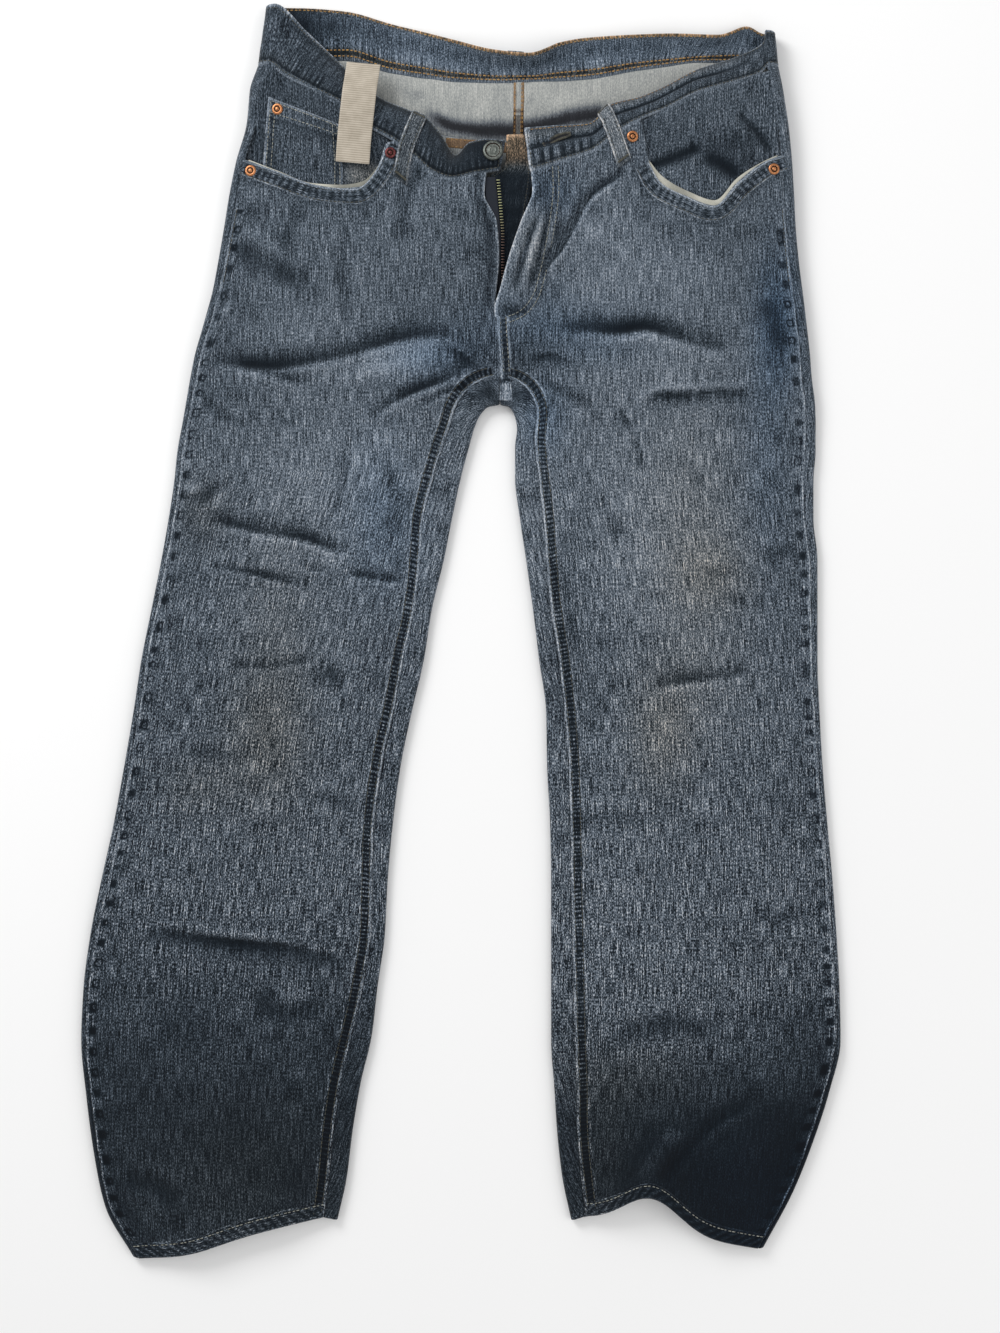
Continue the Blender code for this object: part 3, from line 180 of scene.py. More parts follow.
# side edge of the band at its folds: seam_edge_x, seam_y, top_edge_x, top_y
BAND_FOLD = {"right": (-165.6, 462.5, -159, 510.7), "left": (259.1, 462.5, 256.6, 489.4)}
BAND_STEPS = (1, 0.5, 0, -0.5, -1)
FOLD_STEPS = (1, 0.75, 0.5, 0.25, 0, -0.25, -0.5, -0.75, -1)
BAND_WIDTHS = (0, 0.2, 0.45, 0.72, 1)
BAND_CREST = {"front": 0.62, "back": 0.7}

# ---- Pocket facings: outer corner to inner end along the waistband seam: x, y ----
FACING_TOP = {"right": (
    (-157.5, 464.5), (-144.3, 457.5), (-121.4, 444), (-97.6, 429.2), (-74.6, 410.3), (-57.5, 400),
), "left": (
    (249.4, 456.4), (243, 454.3), (225.5, 448), (189.4, 436.6), (167.3, 425.1), (146.8, 416.9),
    (139, 412.2),
)}
FACING_DEPTH = {"right": 5, "left": 3.4}
FACING_SIDE_Y = (442.8, 429.7, 416.6, 401, 385, 355)
FACING_LOW_Y = {"right": 326, "left": 312}
COIN_LEFT = ((-155.8, 435.4), (-160.7, 381.3), (-160.7, 345))
COIN_RIGHT = ((-98.4, 411.6), (-96, 378), (-96, 345))

# ---- Fly: y, and x of the zip chain on the right panel's side and on the left's ----
CHAIN_ROWS = (
    (369.5, 30.4, 68.5), (342, 32.9, 61.5), (321, 34.4, 54), (302, 34.4, 47.5), (290, 34.4, 42),
    (278, 34.4, 39.4),
)

# y, x_from, x_to, depth under the front
SHIELD_ROWS = (
    (404, 38.2, 51, 4.2), (390, 37.8, 53.5, 4.2), (379, 36.6, 56, 4.4), (369, 23, 57.5, 4.8),
    (345, 19, 54, 5), (310, 18, 48, 5), (278, 20, 44, 6.1), (248, 24, 38, 6.1),
)

# ---- Belt loops: name, section of the band at the middle, slant along the band, width,
# and for the front ones where the tail ends: x, y ----
FRONT_LOOPS = (
    ("belt_loop_front_right", 5.43, -0.05, 12, -4.3, -25),
    ("belt_loop_front_left", 39.24, 0.11, 11.5, 8.3, -23.5),
)
BACK_LOOPS = (
    ("belt_loop_side_right", 17.3, 0, 12), ("belt_loop_centre_back", 21.6, 0, 12),
    ("belt_loop_side_left", 26.6, 0, 12),
)

# ---- Care label, hung out of the waist: x, y, height over the front ----
LABEL_ROWS = (
    (-79, 463, -9), (-80.2, 452, -4.6), (-81.6, 441, -0.3), (-83, 428, 1.4), (-84.6, 414, 1.2),
    (-86.3, 398, 0.4), (-87.6, 381, 0.2),
)

# ---- Bends of the hems: middle_x, width, shift_y, ridge_z, where each begins, its length ----
HEM_BENDS = ((155, 23, 28, 6, -400, 85), (-225, 30, -7, 0, -430, 60))

# ---- Creases: depth (below 0 is a ridge), width, sharp side (0: neither), x and y of its points ----
CREASES = {"right": (
    (2.7, 7, -1, -201, 223, -177, 219, -148, 217, -107, 224, -75, 232, -42, 241, -7, 243),
    (1.6, 5, -1, -180, 217, -148, 208, -124, 202),
    (2.5, 5, -1, -74, 175, -57, 187, -34, 198, -9, 208, 8, 220),
    (-1.2, 8, 0, -100, 205, -60, 215, -20, 226), (1.7, 9, 0, -184, 318, -163, 300, -144, 291, -122, 286),
    (1.1, 6, 0, -91, 330, -96, 298, -95, 273, -89, 252), (2.2, 3.4, 1, -202, 281, -193, 273, -197, 262),
    (-1.6, 3, 0, -186, 270, -194, 259, -202, 247),
    (3.1, 5.4, -1, -201, 92, -169, 84, -148, 80, -128, 77, -102, 68, -92, 67),
    (2.2, 3.4, -1, -209, 55, -189, 52, -169, 48, -148, 43, -121, 37), (1.4, 3, 0, -129, 55, -107, 51),
    (2.5, 3.8, -1, -92, 48, -66, 44, -47, 42), (-1.5, 3.4, 0, -235, 111, -224, 114, -212, 121),
    (1.9, 5, 0, -222, 106, -207, 112, -197, 124), (1.3, 3.6, 1, -91, 158, -93, 126, -103, 93),
    (1.3, 4, -1, -186, -26, -157, -28, -119, -22), (1.7, 9, 0, -122, -31, -94, -39),
    (2.2, 6.5, 1, -256, -241, -212, -248, -177, -252, -160, -254, -130, -258, -98, -268),
    (1.5, 7, 0, -150, -291, -160, -302, -140, -309, -112, -303), (1.4, 6, 0, -30, 378, -44, 355, -48, 318),
    (1, 7, 0, -130, 350, -140, 322, -148, 290), (1, 7, 0, -230, -90, -190, -100, -165, -96),
    (0.9, 6, 0, -122, -130, -90, -142), (1.3, 8, 0, -272, -444, -250, -449, -229, -461),
    (1.6, 3.2, -1, 18, 212, 2, 226, -18, 236), (1.5, 3, 1, 10, 199, -9, 197, -30, 186),
    (1.1, 5, 0, -60, 140, -52, 100, -56, 70), (1.2, 4, 0, -214, 190, -190, 176, -172, 171),
), "left": (
    (3, 7.5, -1, 82, 248, 104, 247, 127, 245, 149, 248, 167, 244, 188, 237, 215, 229),
    (2.6, 5.6, 1, 149, 185, 160, 193, 188, 194, 209, 196, 232, 195),
    (1.3, 3, 1, 130, 182, 143, 157, 151, 131), (1, 4, 0, 184, 140, 196, 115),
    (1.7, 6, 0, 117, 92, 130, 81, 141, 71), (1, 4, 0, 196, 53, 210, 49, 225, 50),
    (1.1, 4, 0, 146, 30, 171, 29), (0.9, 5, 0, 211, 28, 246, 25),
    (1.8, 6, -1, 150, -45, 184, -39, 210, -36, 236, -31),
    (3, 3.6, 1, 134, 374, 106, 354, 93, 332, 82, 312, 71, 298, 65, 285),
    (2.6, 2.4, 0, 62, 335, 52, 308, 43, 276), (-2.4, 2.6, 0, 68, 340, 60, 312, 50, 276),
    (2.3, 2.6, 0, 72, 342, 66, 314, 57, 280), (1.7, 2.4, 0, 81, 336, 76, 316, 68, 300),
    (2.4, 4, 0, 34, 263, 44, 260, 57, 262), (1.5, 3.6, 1, 52, 222, 70, 226, 92, 221),
    (1.4, 3.6, 0, 66, 206, 84, 196, 108, 183), (1.6, 8, 0, 246, 272, 256, 250, 262, 226),
    (1.1, 6, 0, 286, 60, 262, 66, 240, 61), (1.1, 7, 0, 70, 60, 86, 30, 92, -10),
    (1, 8, 0, 84, -160, 125, -150, 150, -156), (0.9, 7, 0, 300, -220, 262, -232, 235, -228),
    (1.2, 9, 0, 120, -330, 170, -318, 215, -325), (-2.2, 9, 0, 150, -474, 158, -440, 176, -404),
    (1.6, 6, -1, 164, -470, 178, -436, 202, -404, 236, -384),
), "back_right": (
    (1.6, 7, 0, -200, 196, -130, 176, -60, 190, -10, 214), (1.3, 6, 0, -190, 165, -120, 148, -70, 156),
    (1.8, 6, 0, -225, -14, -160, -30, -90, -20), (1.5, 5, 0, -230, -40, -170, -52, -110, -60),
    (1.4, 6, 0, -220, 20, -160, 10, -100, 24), (1.2, 7, 0, -240, -90, -180, -80, -120, -92),
    (1.2, 7, 0, -250, -300, -190, -310, -130, -296),
), "back_left": (
    (1.6, 7, 0, 240, 200, 180, 178, 110, 188, 66, 212), (1.3, 6, 0, 250, 168, 190, 150, 130, 158),
    (1.8, 6, 0, 270, -16, 200, -32, 120, -24), (1.5, 5, 0, 264, -44, 200, -56, 130, -50),
    (1.4, 6, 0, 262, 22, 210, 12, 140, 20), (1.2, 7, 0, 280, -90, 220, -84, 150, -96),
    (1.2, 7, 0, 280, -306, 220, -312, 150, -300),
)}

# ---- How washed the fronts are, from 0 dark to 1 white, with a painted cast shadow that darkens the lower legs towards the hems: y, outer, middle, inner ----
WASH_AND_SHADOW_ROWS = {"right": (
    (420, 0.29, 0.32, 0.32), (330, 0.28, 0.315, 0.33), (240, 0.3, 0.34, 0.33), (150, 0.32, 0.39, 0.36),
    (60, 0.31, 0.385, 0.36), (-40, 0.285, 0.335, 0.34), (-110, 0.27, 0.305, 0.3), (-200, 0.265, 0.31, 0.3),
    (-262, 0.22, 0.255, 0.25), (-330, 0.165, 0.185, 0.2), (-400, 0.125, 0.145, 0.155),
    (-510, 0.125, 0.145, 0.14),
), "left": (
    (420, 0.33, 0.35, 0.33), (330, 0.33, 0.36, 0.34), (230, 0.31, 0.37, 0.33), (150, 0.33, 0.4, 0.38),
    (50, 0.32, 0.41, 0.37), (-40, 0.31, 0.36, 0.33), (-110, 0.3, 0.34, 0.33), (-200, 0.29, 0.33, 0.325),
    (-285, 0.26, 0.31, 0.31), (-345, 0.14, 0.215, 0.235), (-400, 0.075, 0.13, 0.165),
    (-510, 0.045, 0.07, 0.13),
)}

# ---- Worn or soiled patches, and darker patches of painted shade over hollows, under creases, at the crotch and at the left hem: x, y, half width, half height, lighter by, browner by ----
WEAR_AND_SHADE_PATCHES = (
    (-160, -90, 34, 50, 0.015, 0.6), (-215, -125, 30, 24, 0, 0.4), (-210, 100, 20, 26, -0.03, 0.4),
    (164, -82, 26, 46, 0.02, 0.7), (204, 48, 34, 30, -0.005, 0.6), (190, -30, 44, 60, 0.01, 0.3),
    (160, 100, 50, 70, 0.02, 0.1), (-120, 120, 60, 70, 0.02, 0), (-140, 245, 40, 14, 0.045, 0),
    (-60, 222, 46, 12, 0.03, 0), (-50, 300, 50, 70, 0.02, 0), (150, 285, 60, 30, 0.035, 0),
    (110, 340, 26, 30, 0.04, 0), (150, 215, 40, 14, 0.04, 0), (58, 312, 15, 40, 0.05, 0.35),
    (258, 255, 16, 50, -0.07, -0.9), (70, 356, 24, 20, -0.11, -0.5), (66, 280, 16, 18, -0.09, -0.2),
    (104, 248, 34, 6, -0.09, -0.2), (106, 230, 40, 14, -0.035, -0.2), (140, 308, 60, 46, 0.035, 0),
    (190, 100, 36, 80, 0, 0.35), (-150, -20, 30, 90, 0, 0.35), (66, 178, 20, 30, -0.02, -0.5),
    (-62, 90, 30, 60, -0.01, -0.4), (250, -470, 60, 60, 0, -0.7), (250, 150, 20, 120, 0, -0.3),
    (60, 250, 60, 20, 0, -0.4), (-20, 225, 40, 20, 0, -0.5), (178, 326, 34, 11, -0.055, 0),
    (106, 305, 22, 10, -0.04, 0), (150, 350, 10, 22, -0.03, 0), (100, 60, 24, 60, -0.035, 0),
    (84, -40, 22, 60, -0.045, 0), (-50, -30, 30, 40, -0.03, 0), (-60, -90, 24, 60, -0.025, 0),
    (10, 226, 16, 26, -0.1, 0), (44, 226, 14, 20, -0.06, 0), (66, 230, 18, 16, -0.05, 0),
    (205, -455, 66, 46, -0.05, 0), (118, -430, 26, 60, 0.02, 0.5), (140, -365, 60, 26, 0, 0.4),
    (-135, -300, 20, 14, 0.035, 0), (-170, -440, 80, 60, 0, 0.45), (-250, -445, 20, 18, 0.03, 0),
    (22, 330, 10, 50, -0.055, 0),
)


# ======== small helpers
def smooth(value):
    """A soft step from 0 to 1."""
    t = np.clip(value, 0, 1)
    return t * t * (3 - 2 * t)


def bell(value, middle, width, power=2):
    """A soft bump, 1 at its middle."""
    return np.exp(-((value - middle) / width) ** power)


def spot(x, y, middle_x, middle_y, half_x, half_y, power=2):
    """A soft bump over a place, 1 at its middle."""
    return np.exp(-((x - middle_x) / half_x) ** power - ((y - middle_y) / half_y) ** power)


def unit(vectors):
    """Vectors made one long."""
    vectors = np.asarray(vectors, float)
    return vectors / np.maximum(np.linalg.norm(vectors, axis=-1, keepdims=True), 1e-9)


def lifted(line, z):
    """A line in plan, at a height."""
    return np.concatenate((line, np.full((len(line), 1), z)), axis=1)


def at_y(rows, y, column, y_column=0):
    """Value of a table's column at a height y; the rows run from high y to low."""
    heights = [-row[y_column] for row in rows]
    return np.interp(-np.asarray(y, float), heights, [row[column] for row in rows])


def blend(table, i, j, a, b):
    """A mix of the four cells of a table round a place, by the shares a and b of the further ones."""
    rows, columns = table.shape[:2]
    i, j, k, m = i % rows, j % columns, (i + 1) % rows, (j + 1) % columns
    low = table[i, j] * (1 - a) + table[k, j] * a
    high = table[i, m] * (1 - a) + table[k, m] * a
    return low * (1 - b) + high * b


def noise(x, y, size, seed):
    """Soft seeded noise from -1 to 1, in cells of a size in millimetres."""
    table = np.random.default_rng(seed).uniform(-1, 1, (64, 64))
    u, v = np.asarray(x, float) / size, np.asarray(y, float) / size
    i, j = np.floor(u).astype(int), np.floor(v).astype(int)
    return blend(table, i, j, smooth(u - i), smooth(v - j))


def spline(points, t):
    """A soft curve through points, read at parameters counted in points."""
    points = np.asarray(points, float)
    padded = np.concatenate((2 * points[:1] - points[1:2], points, 2 * points[-1:] - points[-2:-1]))
    i = np.clip(np.floor(t).astype(int), 0, len(points) - 2)
    f = (t - i)[:, None]
    a, b, c, d = (padded[i + k] for k in range(4))
    bend = (2 * a - 5 * b + 4 * c - d) * f ** 2 + (3 * b - a - 3 * c + d) * f ** 3
    return 0.5 * (2 * b + (c - a) * f + bend)


def soft_line(points, each=6):
    """A line of points bent softly, with so many steps from each point to the next."""
    return spline(points, np.linspace(0, len(points) - 1, (len(points) - 1) * each + 1))


def along(line):
    """Length from the start of a line to each of its points."""
    return np.concatenate(([0], np.cumsum(np.linalg.norm(np.diff(line, axis=0), axis=1))))


def read_line(values, reach, at):
    """Values given at lengths along a line, read at other lengths."""
    return np.stack([np.interp(at, reach, column) for column in np.transpose(values)], axis=1)


def spaced(line, step):
    """Points at even distances along a line."""
    reach = along(line)
    count = max(2, int(round(reach[-1] / step)) + 1)
    return read_line(line, reach, np.linspace(0, reach[-1], count))


def offset(line, distance):
    """A line in the XY plane moved to its left by a distance."""
    ahead = unit(np.gradient(line, axis=0))
    return line + np.stack((-ahead[:, 1], ahead[:, 0]), axis=1) * distance


def fold_radius(y):
    return at_y(THICKNESS_ROWS, y, 1)


def seat_lift(y):
    return SEAT_LIFT * smooth((y - 150) / 50)


def side_rows(side):
    """Outer edge of a side from waist to hem: x, y, side seam."""
    return list(HIP_ROWS[side]) + [(row[0], row[1], row[4]) for row in LEG_ROWS[side]]


def side_edge(side, y):
    """x of a side's outer edge at a height y, and how far inside it the side seam lies."""
    rows = side_rows(side)
    return at_y(rows, y, 0, 1), at_y(rows, y, 2, 1)


def near_line(line, x, y):
    """Distance to a bent line, how far along it the nearest place lies from 0 to 1, and 1 to the
    line's left or -1 to its right."""
    reach = along(line)
    best = np.full(np.shape(x), 1e9)
    where = np.zeros(np.shape(x))
    way = np.ones(np.shape(x))
    for k, ((ax, ay), (bx, by)) in enumerate(zip(line[:-1], line[1:])):
        dx, dy = bx - ax, by - ay
        t = np.clip(((x - ax) * dx + (y - ay) * dy) / (dx * dx + dy * dy), 0, 1)
        gap = np.hypot(x - ax - t * dx, y - ay - t * dy)
        closer = gap < best
        best = np.where(closer, gap, best)
        where = np.where(closer, (reach[k] + t * (reach[k + 1] - reach[k])) / reach[-1], where)
        way = np.where(closer, np.sign(dx * (y - ay) - dy * (x - ax)), way)
    return best, where, way


# ---- Fields: values on a raster over the garment ----
FIELD_LOW = (-334, -536)
FIELD_SIZE = (668, 1072)
EDGE_STEP = 2


def raster(step):
    x, y = (low + np.arange(0, size + 1, step) for low, size in zip(FIELD_LOW, FIELD_SIZE))
    return np.meshgrid(x, y, indexing="ij")


def read(field, x, y, step=1):
    """A field's values between its raster points."""
    i, j = (np.clip((np.asarray(value, float) - low) / step, 0, size - 1.001)
            for value, low, size in zip((x, y), FIELD_LOW, field.shape))
    return blend(field, i.astype(int), j.astype(int), i % 1, j % 1)


def edge_field():
    """Distance to the nearest line where the flat garment folds over."""
    inner = {side: [row[2:4] for row in LEG_ROWS[side]] for side in SIGN}
    lines = [[row[:2] for row in side_rows(side)] for side in SIGN]
    lines.append(inner["right"][::-1] + inner["left"][1:])
    return np.minimum.reduce([near_line(soft_line(line, 3), *raster(EDGE_STEP))[0] for line in lines])


EDGE_FIELD = edge_field()


def edge_gap(x, y):
    return read(EDGE_FIELD, x, y, EDGE_STEP)


def hem_bend(x, y):
    """How far a hem's bends move a point along Y, and how high they lift it."""
    shift = ridge = 0
    for middle, width, over, height, start, length in HEM_BENDS:
        rise = np.exp(-0.5 * ((x - middle) / width) ** 2) * smooth((start - y) / length)
        shift = shift + over * rise
        ridge = ridge + height * rise
    return shift, ridge


def bent(x, y, z):
    return np.array((x, y + hem_bend(x, y)[0], z))


def front_z(x, y):
    """Height of the upper layer's outer face, with no creases."""
    radius = fold_radius(y)
    rise = at_y(THICKNESS_ROWS, y, 2) * smooth((edge_gap(x, y) - radius) / DOME_REACH)
    return seat_lift(y) + 2 * radius + rise + hem_bend(x, y)[1]


def flap_lift(x, y):
    """Soft ridge that stands along the open fly's edge on the left front."""
    inside = x - at_y(FLY_ROWS["left"], y, 0, 1)
    across = FLAP_EDGE + (1 - FLAP_EDGE) * smooth(inside / 9)
    across = across * (1 - smooth((inside - 12) / 36))
    rise = smooth((y - 249) / 22) * (1 - 0.72 * smooth((y - 340) / 30))
    return FLAP_LIFT * across * rise


def front_point(side, x, y, up=0):
    """A point on the upper layer before it is creased, moved up."""
    return bent(x, y, front_z(x, y) + up + (flap_lift(x, y) if side == "left" else 0))


def crease_marks(piece, x, y):
    """Height that the creases add, and each place's painted shade: dark in a crease's trough, with a
    painted highlight on its ridge.
    """
    lift = np.zeros(np.shape(x))
    dark = np.zeros(np.shape(x))
    every = [(name, *row) for name, rows in CREASES.items() for row in rows]
    for number, (name, depth, width, sharp, *points) in enumerate(every):
        if name != piece:
            continue
        line = soft_line(np.reshape(points, (-1, 2)))
        reach = 4 * width
        near = (x > line[:, 0].min() - reach) & (x < line[:, 0].max() + reach)
        near &= (y > line[:, 1].min() - reach) & (y < line[:, 1].max() + reach)
        if not near.any():
            continue
        gap, where, way = near_line(line, x[near], y[near])
        taper = np.clip(4 * where * (1 - where), 0, 1) ** 0.45
        uneven = 1 + 0.25 * np.sin(where * 9 + number * 1.7)
        fade = taper * uneven * np.where((where <= 0) | (where >= 1), np.exp(-gap / width), 1)
        t = gap / width
        trough = bell(t, 0, 1)
        ridge = 0.35 * bell(t, 1.8, 0.9)
        if sharp:
            over = way * sharp > 0
            trough = np.where(over, bell(t, 0, 0.4), bell(t, 0, 1.35))
            ridge = np.where(over, 0.55 * bell(t, 0.95, 0.6), 0)
        lift[near] += depth * fade * (ridge - trough)
        # Painted shade in the trough and painted highlight on the ridge, stronger for sharp creases.
        shade = math.copysign(abs(depth / 2.8) ** 0.8, depth) * (1 if sharp else 0.7)
        dark[near] += fade * (trough - 0.5 * ridge) * shade
    return lift, dark


def relief_field(side):
    """What lifts a front off its plain form, and how much painted shade its creases get."""
    x, y = raster(1)
    lift, dark = crease_marks(side, x, y)
    lift += 0.8 * noise(x, y, 70, 3) + 0.35 * noise(x + 0.4 * y, y, 26, 5)
    lift += 0.14 * noise(x, y, 9, 7)
    top = FRONT_TOP[side]
    sign = -SIGN[side]
    top_y = np.interp(x * sign, [p[0] * sign for p in top], [p[1] for p in top])
    calm = smooth((edge_gap(x, y) - 3) / 16) * smooth((top_y - y) / 14)
    return lift * calm, dark * calm


def level_field(side):
    x, y = raster(1)
    return front_z(x, y) + RELIEF[side][0] + (flap_lift(x, y) if side == "left" else 0)


RELIEF = {side: relief_field(side) for side in SIGN}
LEVEL = {side: level_field(side) for side in SIGN}


def lay(side, x, y, up=0):
    """Points on the finished front, moved up."""
    x, y = np.broadcast_arrays(np.asarray(x, float), np.asarray(y, float))
    return np.stack((x, y + hem_bend(x, y)[0], read(LEVEL[side], x, y) + up), axis=-1)


def lay_normal(side, x, y, step=1):
    level = LEVEL[side]
    slope_x = (read(level, x + step, y) - read(level, x - step, y)) / (2 * step)
    slope_y = (read(level, x, y + step) - read(level, x, y - step)) / (2 * step)
    return unit(np.stack((-slope_x, -slope_y, np.ones_like(slope_x)), axis=-1))


def wash_and_shade_at(side, x, y):
    """How washed the denim is at a place, with the painted cast shadow over the lower legs and the painted
    shade of some patches, and how brown.
    """
    legs = [row[2:4] for row in LEG_ROWS[side]]
    outer_x = side_edge(side, y)[0]
    inner_x = np.where(y > legs[0][1], legs[0][0], at_y(legs, y, 0, 1))
    share = np.clip((x - outer_x) / (inner_x - outer_x), 0, 1)
    outer, middle, inner = (at_y(WASH_AND_SHADOW_ROWS[side], y, k) for k in (1, 2, 3))
    wash_and_shade = middle + (outer - middle) * smooth(1 - 2.2 * share)
    wash_and_shade += (inner - middle) * smooth(2.2 * share - 1.2)
    brown = np.zeros(np.shape(x))
    for *where, lighter, browner in WEAR_AND_SHADE_PATCHES:
        mark = spot(x, y, *where)
        wash_and_shade += lighter * mark
        brown += browner * mark
    wash_and_shade += 0.014 * noise(x, y, 45, 11) + 0.01 * noise(x, y, 17, 12)
    return wash_and_shade, brown


# ======== forms shared with the solids
def wrap_point(edge, outward, run):
    """A point on the cloth round a folded edge: on top where run is above 0, else underneath."""
    radius = fold_radius(edge[1])
    quarter = math.pi * radius / 2
    inside, height = radius + abs(run) - quarter, 0
    if abs(run) <= quarter:
        inside = radius * (1 - math.cos(run / radius))
        height = radius * (1 + math.sin(run / radius))
    x = edge[0] - outward[0] * inside
    y = edge[1] - outward[1] * inside
    if run > quarter:
        return front_point("right", x, y)
    return bent(x, y, seat_lift(y) + height)


def wrap(edge, outward, seam):
    """Cloth from a seam on the upper layer, round a folded edge, to the floor."""
    radius = fold_radius(edge[1])
    quarter = math.pi * radius / 2
    runs = [quarter + seam - radius - GAP / 2] + [step * quarter for step in FOLD_STEPS]
    return [wrap_point(edge, outward, run) for run in runs]


def outer_wrap(side, y):
    edge_x, seam = side_edge(side, y)
    return wrap((edge_x, y), (SIGN[side], 0), seam)


def inner_normals(side):
    """Direction out of the cloth at each row of the inner leg, turning from the crotch."""
    points = np.array(LEG_ROWS[side])[:, 2:4]
    ahead = np.concatenate((points[2:], points[-1:])) - points[:-1]
    across = np.stack((ahead[:, 1], -ahead[:, 0]), axis=1) * SIGN[side]
    return np.concatenate(([(0, -1)], unit(across)))


def floor_run(start, end, count=5):
    """Points on the floor strictly between two points, and the end."""
    points = []
    for k in range(1, count + 1):
        x = start[0] + (end[0] - start[0]) * k / count
        y = start[1] + (end[1] - start[1]) * k / count
        shift = hem_bend(x, y)[0] if k < count else 0
        points.append(np.array((x, y + shift, seat_lift(y))))
    return points


def back_rows(side):
    """Points of a back panel, row by row: its side seam, the floor, the inseam."""
    half_gap = SIGN[side] * GAP / 2
    rows = []
    for x, y, side_y in CENTRE_BACK[:-1]:
        drop = GAP if y == CENTRE_BACK[0][1] else 0
        outer = outer_wrap(side, side_y - drop)
        rows.append(outer + floor_run(outer[-1], (x + half_gap, y - drop)) + [None] * (len(FOLD_STEPS) + 1))
    for number, (row, normal) in enumerate(zip(LEG_ROWS[side], inner_normals(side))):
        outer = outer_wrap(side, row[1])
        edge = np.array((row[2] + half_gap * (number == 0), row[3]))
        end = edge - normal * INNER_FLOOR[min(number, len(INNER_FLOOR) - 1)]
        rows.append(outer + floor_run(outer[-1], end) + wrap(edge, normal, row[5])[::-1])
    return rows


def front_rows(side):
    """Rows of a front panel in plan, from its top edge to the hem."""
    def side_point(y):
        edge_x, seam = side_edge(side, y)
        return np.array((edge_x - SIGN[side] * (seam + GAP / 2), y))

    top = np.array([point[:2] for point in FRONT_TOP[side]], float)
    shares = ((top[:, 0] - top[0, 0]) / (top[-1, 0] - top[0, 0]))[:, None]
    *low_fly, low_y = FLY_ROWS[side][TOP_ROWS]
    low_side = side_point(low_y)
    low = low_side + (low_fly - low_side) * shares
    grid = []
    for number, (*fly, side_y) in enumerate(FLY_ROWS[side][:TOP_ROWS]):
        share = number / TOP_ROWS
        fly_error = fly - (top[-1] + (low_fly - top[-1]) * share)
        side_error = side_point(side_y) - (top[0] + (low_side - top[0]) * share)
        line = top + (low - top) * share
        grid.append(line + fly_error * shares ** 3 + side_error * (1 - shares) ** 3)
    ends = [(side_y, np.array(fly)) for *fly, side_y in FLY_ROWS[side][TOP_ROWS:]]
    for number, (row, normal) in enumerate(zip(LEG_ROWS[side], inner_normals(side))):
        ends.append((row[1], row[2:4] - normal * (row[5] + GAP / 2)))
        ends[-1][1][0] += SIGN[side] * GAP / 2 * (number == 0)
    for y, end in ends:
        start = side_point(y)
        grid.append(start + (end - start) * shares)
    return grid


def yoke_rows(side):
    """Rows of a back yoke, from the waistband to the back panel."""
    band_x, band_y = np.array(BAND_BACK)[:, :2].T
    middle_x, seam_centre_y, seam_side_y = CENTRE_BACK[0]
    centre_x = middle_x + SIGN[side] * GAP / 2
    columns = sorted(band_x[(band_x - centre_x) * SIGN[side] > 2], reverse=side == "left")
    top_side_y = BAND_FOLD[side][1] - GAP * 3
    grid = []
    for side_y in (top_side_y, HIP_ROWS[side][1][1], seam_side_y):
        share = (top_side_y - side_y) / (top_side_y - seam_side_y)
        line = outer_wrap(side, side_y)
        edge_x = line[-1][0]
        if side_y == top_side_y:
            line[0] = line[0] - (0, 1, 0)
        reach = (seam_centre_y - seam_side_y) / (middle_x - edge_x)
        for x in columns + [centre_x]:
            top_y = np.interp(x, band_x, band_y) - GAP * 1.5
            low_y = seam_side_y + reach * (x - edge_x)
            line.append(np.array((x, top_y + (low_y - top_y) * share, SEAT_LIFT)))
        grid.append(line)
    return grid


def band_section(seam, top, crest_share, crest_z):
    """Points across the band on a soft bend from its seam to its top edge."""
    seam, top = np.array(seam, float), np.array(top, float)
    crest = seam + (top - seam) * crest_share
    crest[2] = crest_z
    return [seam * (1 - w) ** 2 + crest * 2 * w * (1 - w) + top * w ** 2 for w in BAND_WIDTHS]


def band_front_sections(rows, side):
    for seam_x, seam_y, *top in rows:
        seam = front_point(side, seam_x, seam_y)
        yield band_section(seam, top, BAND_CREST["front"], seam[2] + 1.2)


def band_fold_sections(side, steps):
    """The band folds back on itself at a side of the garment."""
    seam_x, seam_y, top_x, top_y = BAND_FOLD[side]
    radius = fold_radius(seam_y)
    for step in steps:
        inside = -SIGN[side] * radius * (1 - math.cos(step * math.pi / 2))
        z = SEAT_LIFT + radius * (1 + math.sin(step * math.pi / 2))
        yield band_section((seam_x + inside, seam_y, z), (top_x + inside, top_y, z), 0.5, z)


def band_sections():
    back = [band_section((seam_x, seam_y, SEAT_LIFT), top, BAND_CREST["back"], SEAT_LIFT)
            for seam_x, seam_y, *top in BAND_BACK]
    return [*band_front_sections(BAND_BUTTON_END, "right"), *band_fold_sections("right", BAND_STEPS),
            *back, *band_fold_sections("left", BAND_STEPS[::-1]),
            *band_front_sections(BAND_HOLE_END, "left")]


def facing_point(side, x, y, up=0):
    """A point on a pocket facing, which lies under the front's level, moved up."""
    line = FACING_TOP[side]
    turn = -SIGN[side]
    seam_y = np.interp(x * turn, [p[0] * turn for p in line], [p[1] for p in line])
    edge_x, seam = side_edge(side, y)
    under_panel = smooth((412 - y) / 16)
    under_corner = smooth(1 - (abs(x - line[-1][0]) - 12) / 18)
    sag = 0.5 * smooth((seam_y - y) / 25) * smooth(abs(x - edge_x + SIGN[side] * seam) / 20)
    return front_point("right", x, y, up - FACING_DEPTH[side] * max(under_panel, under_corner, sag))


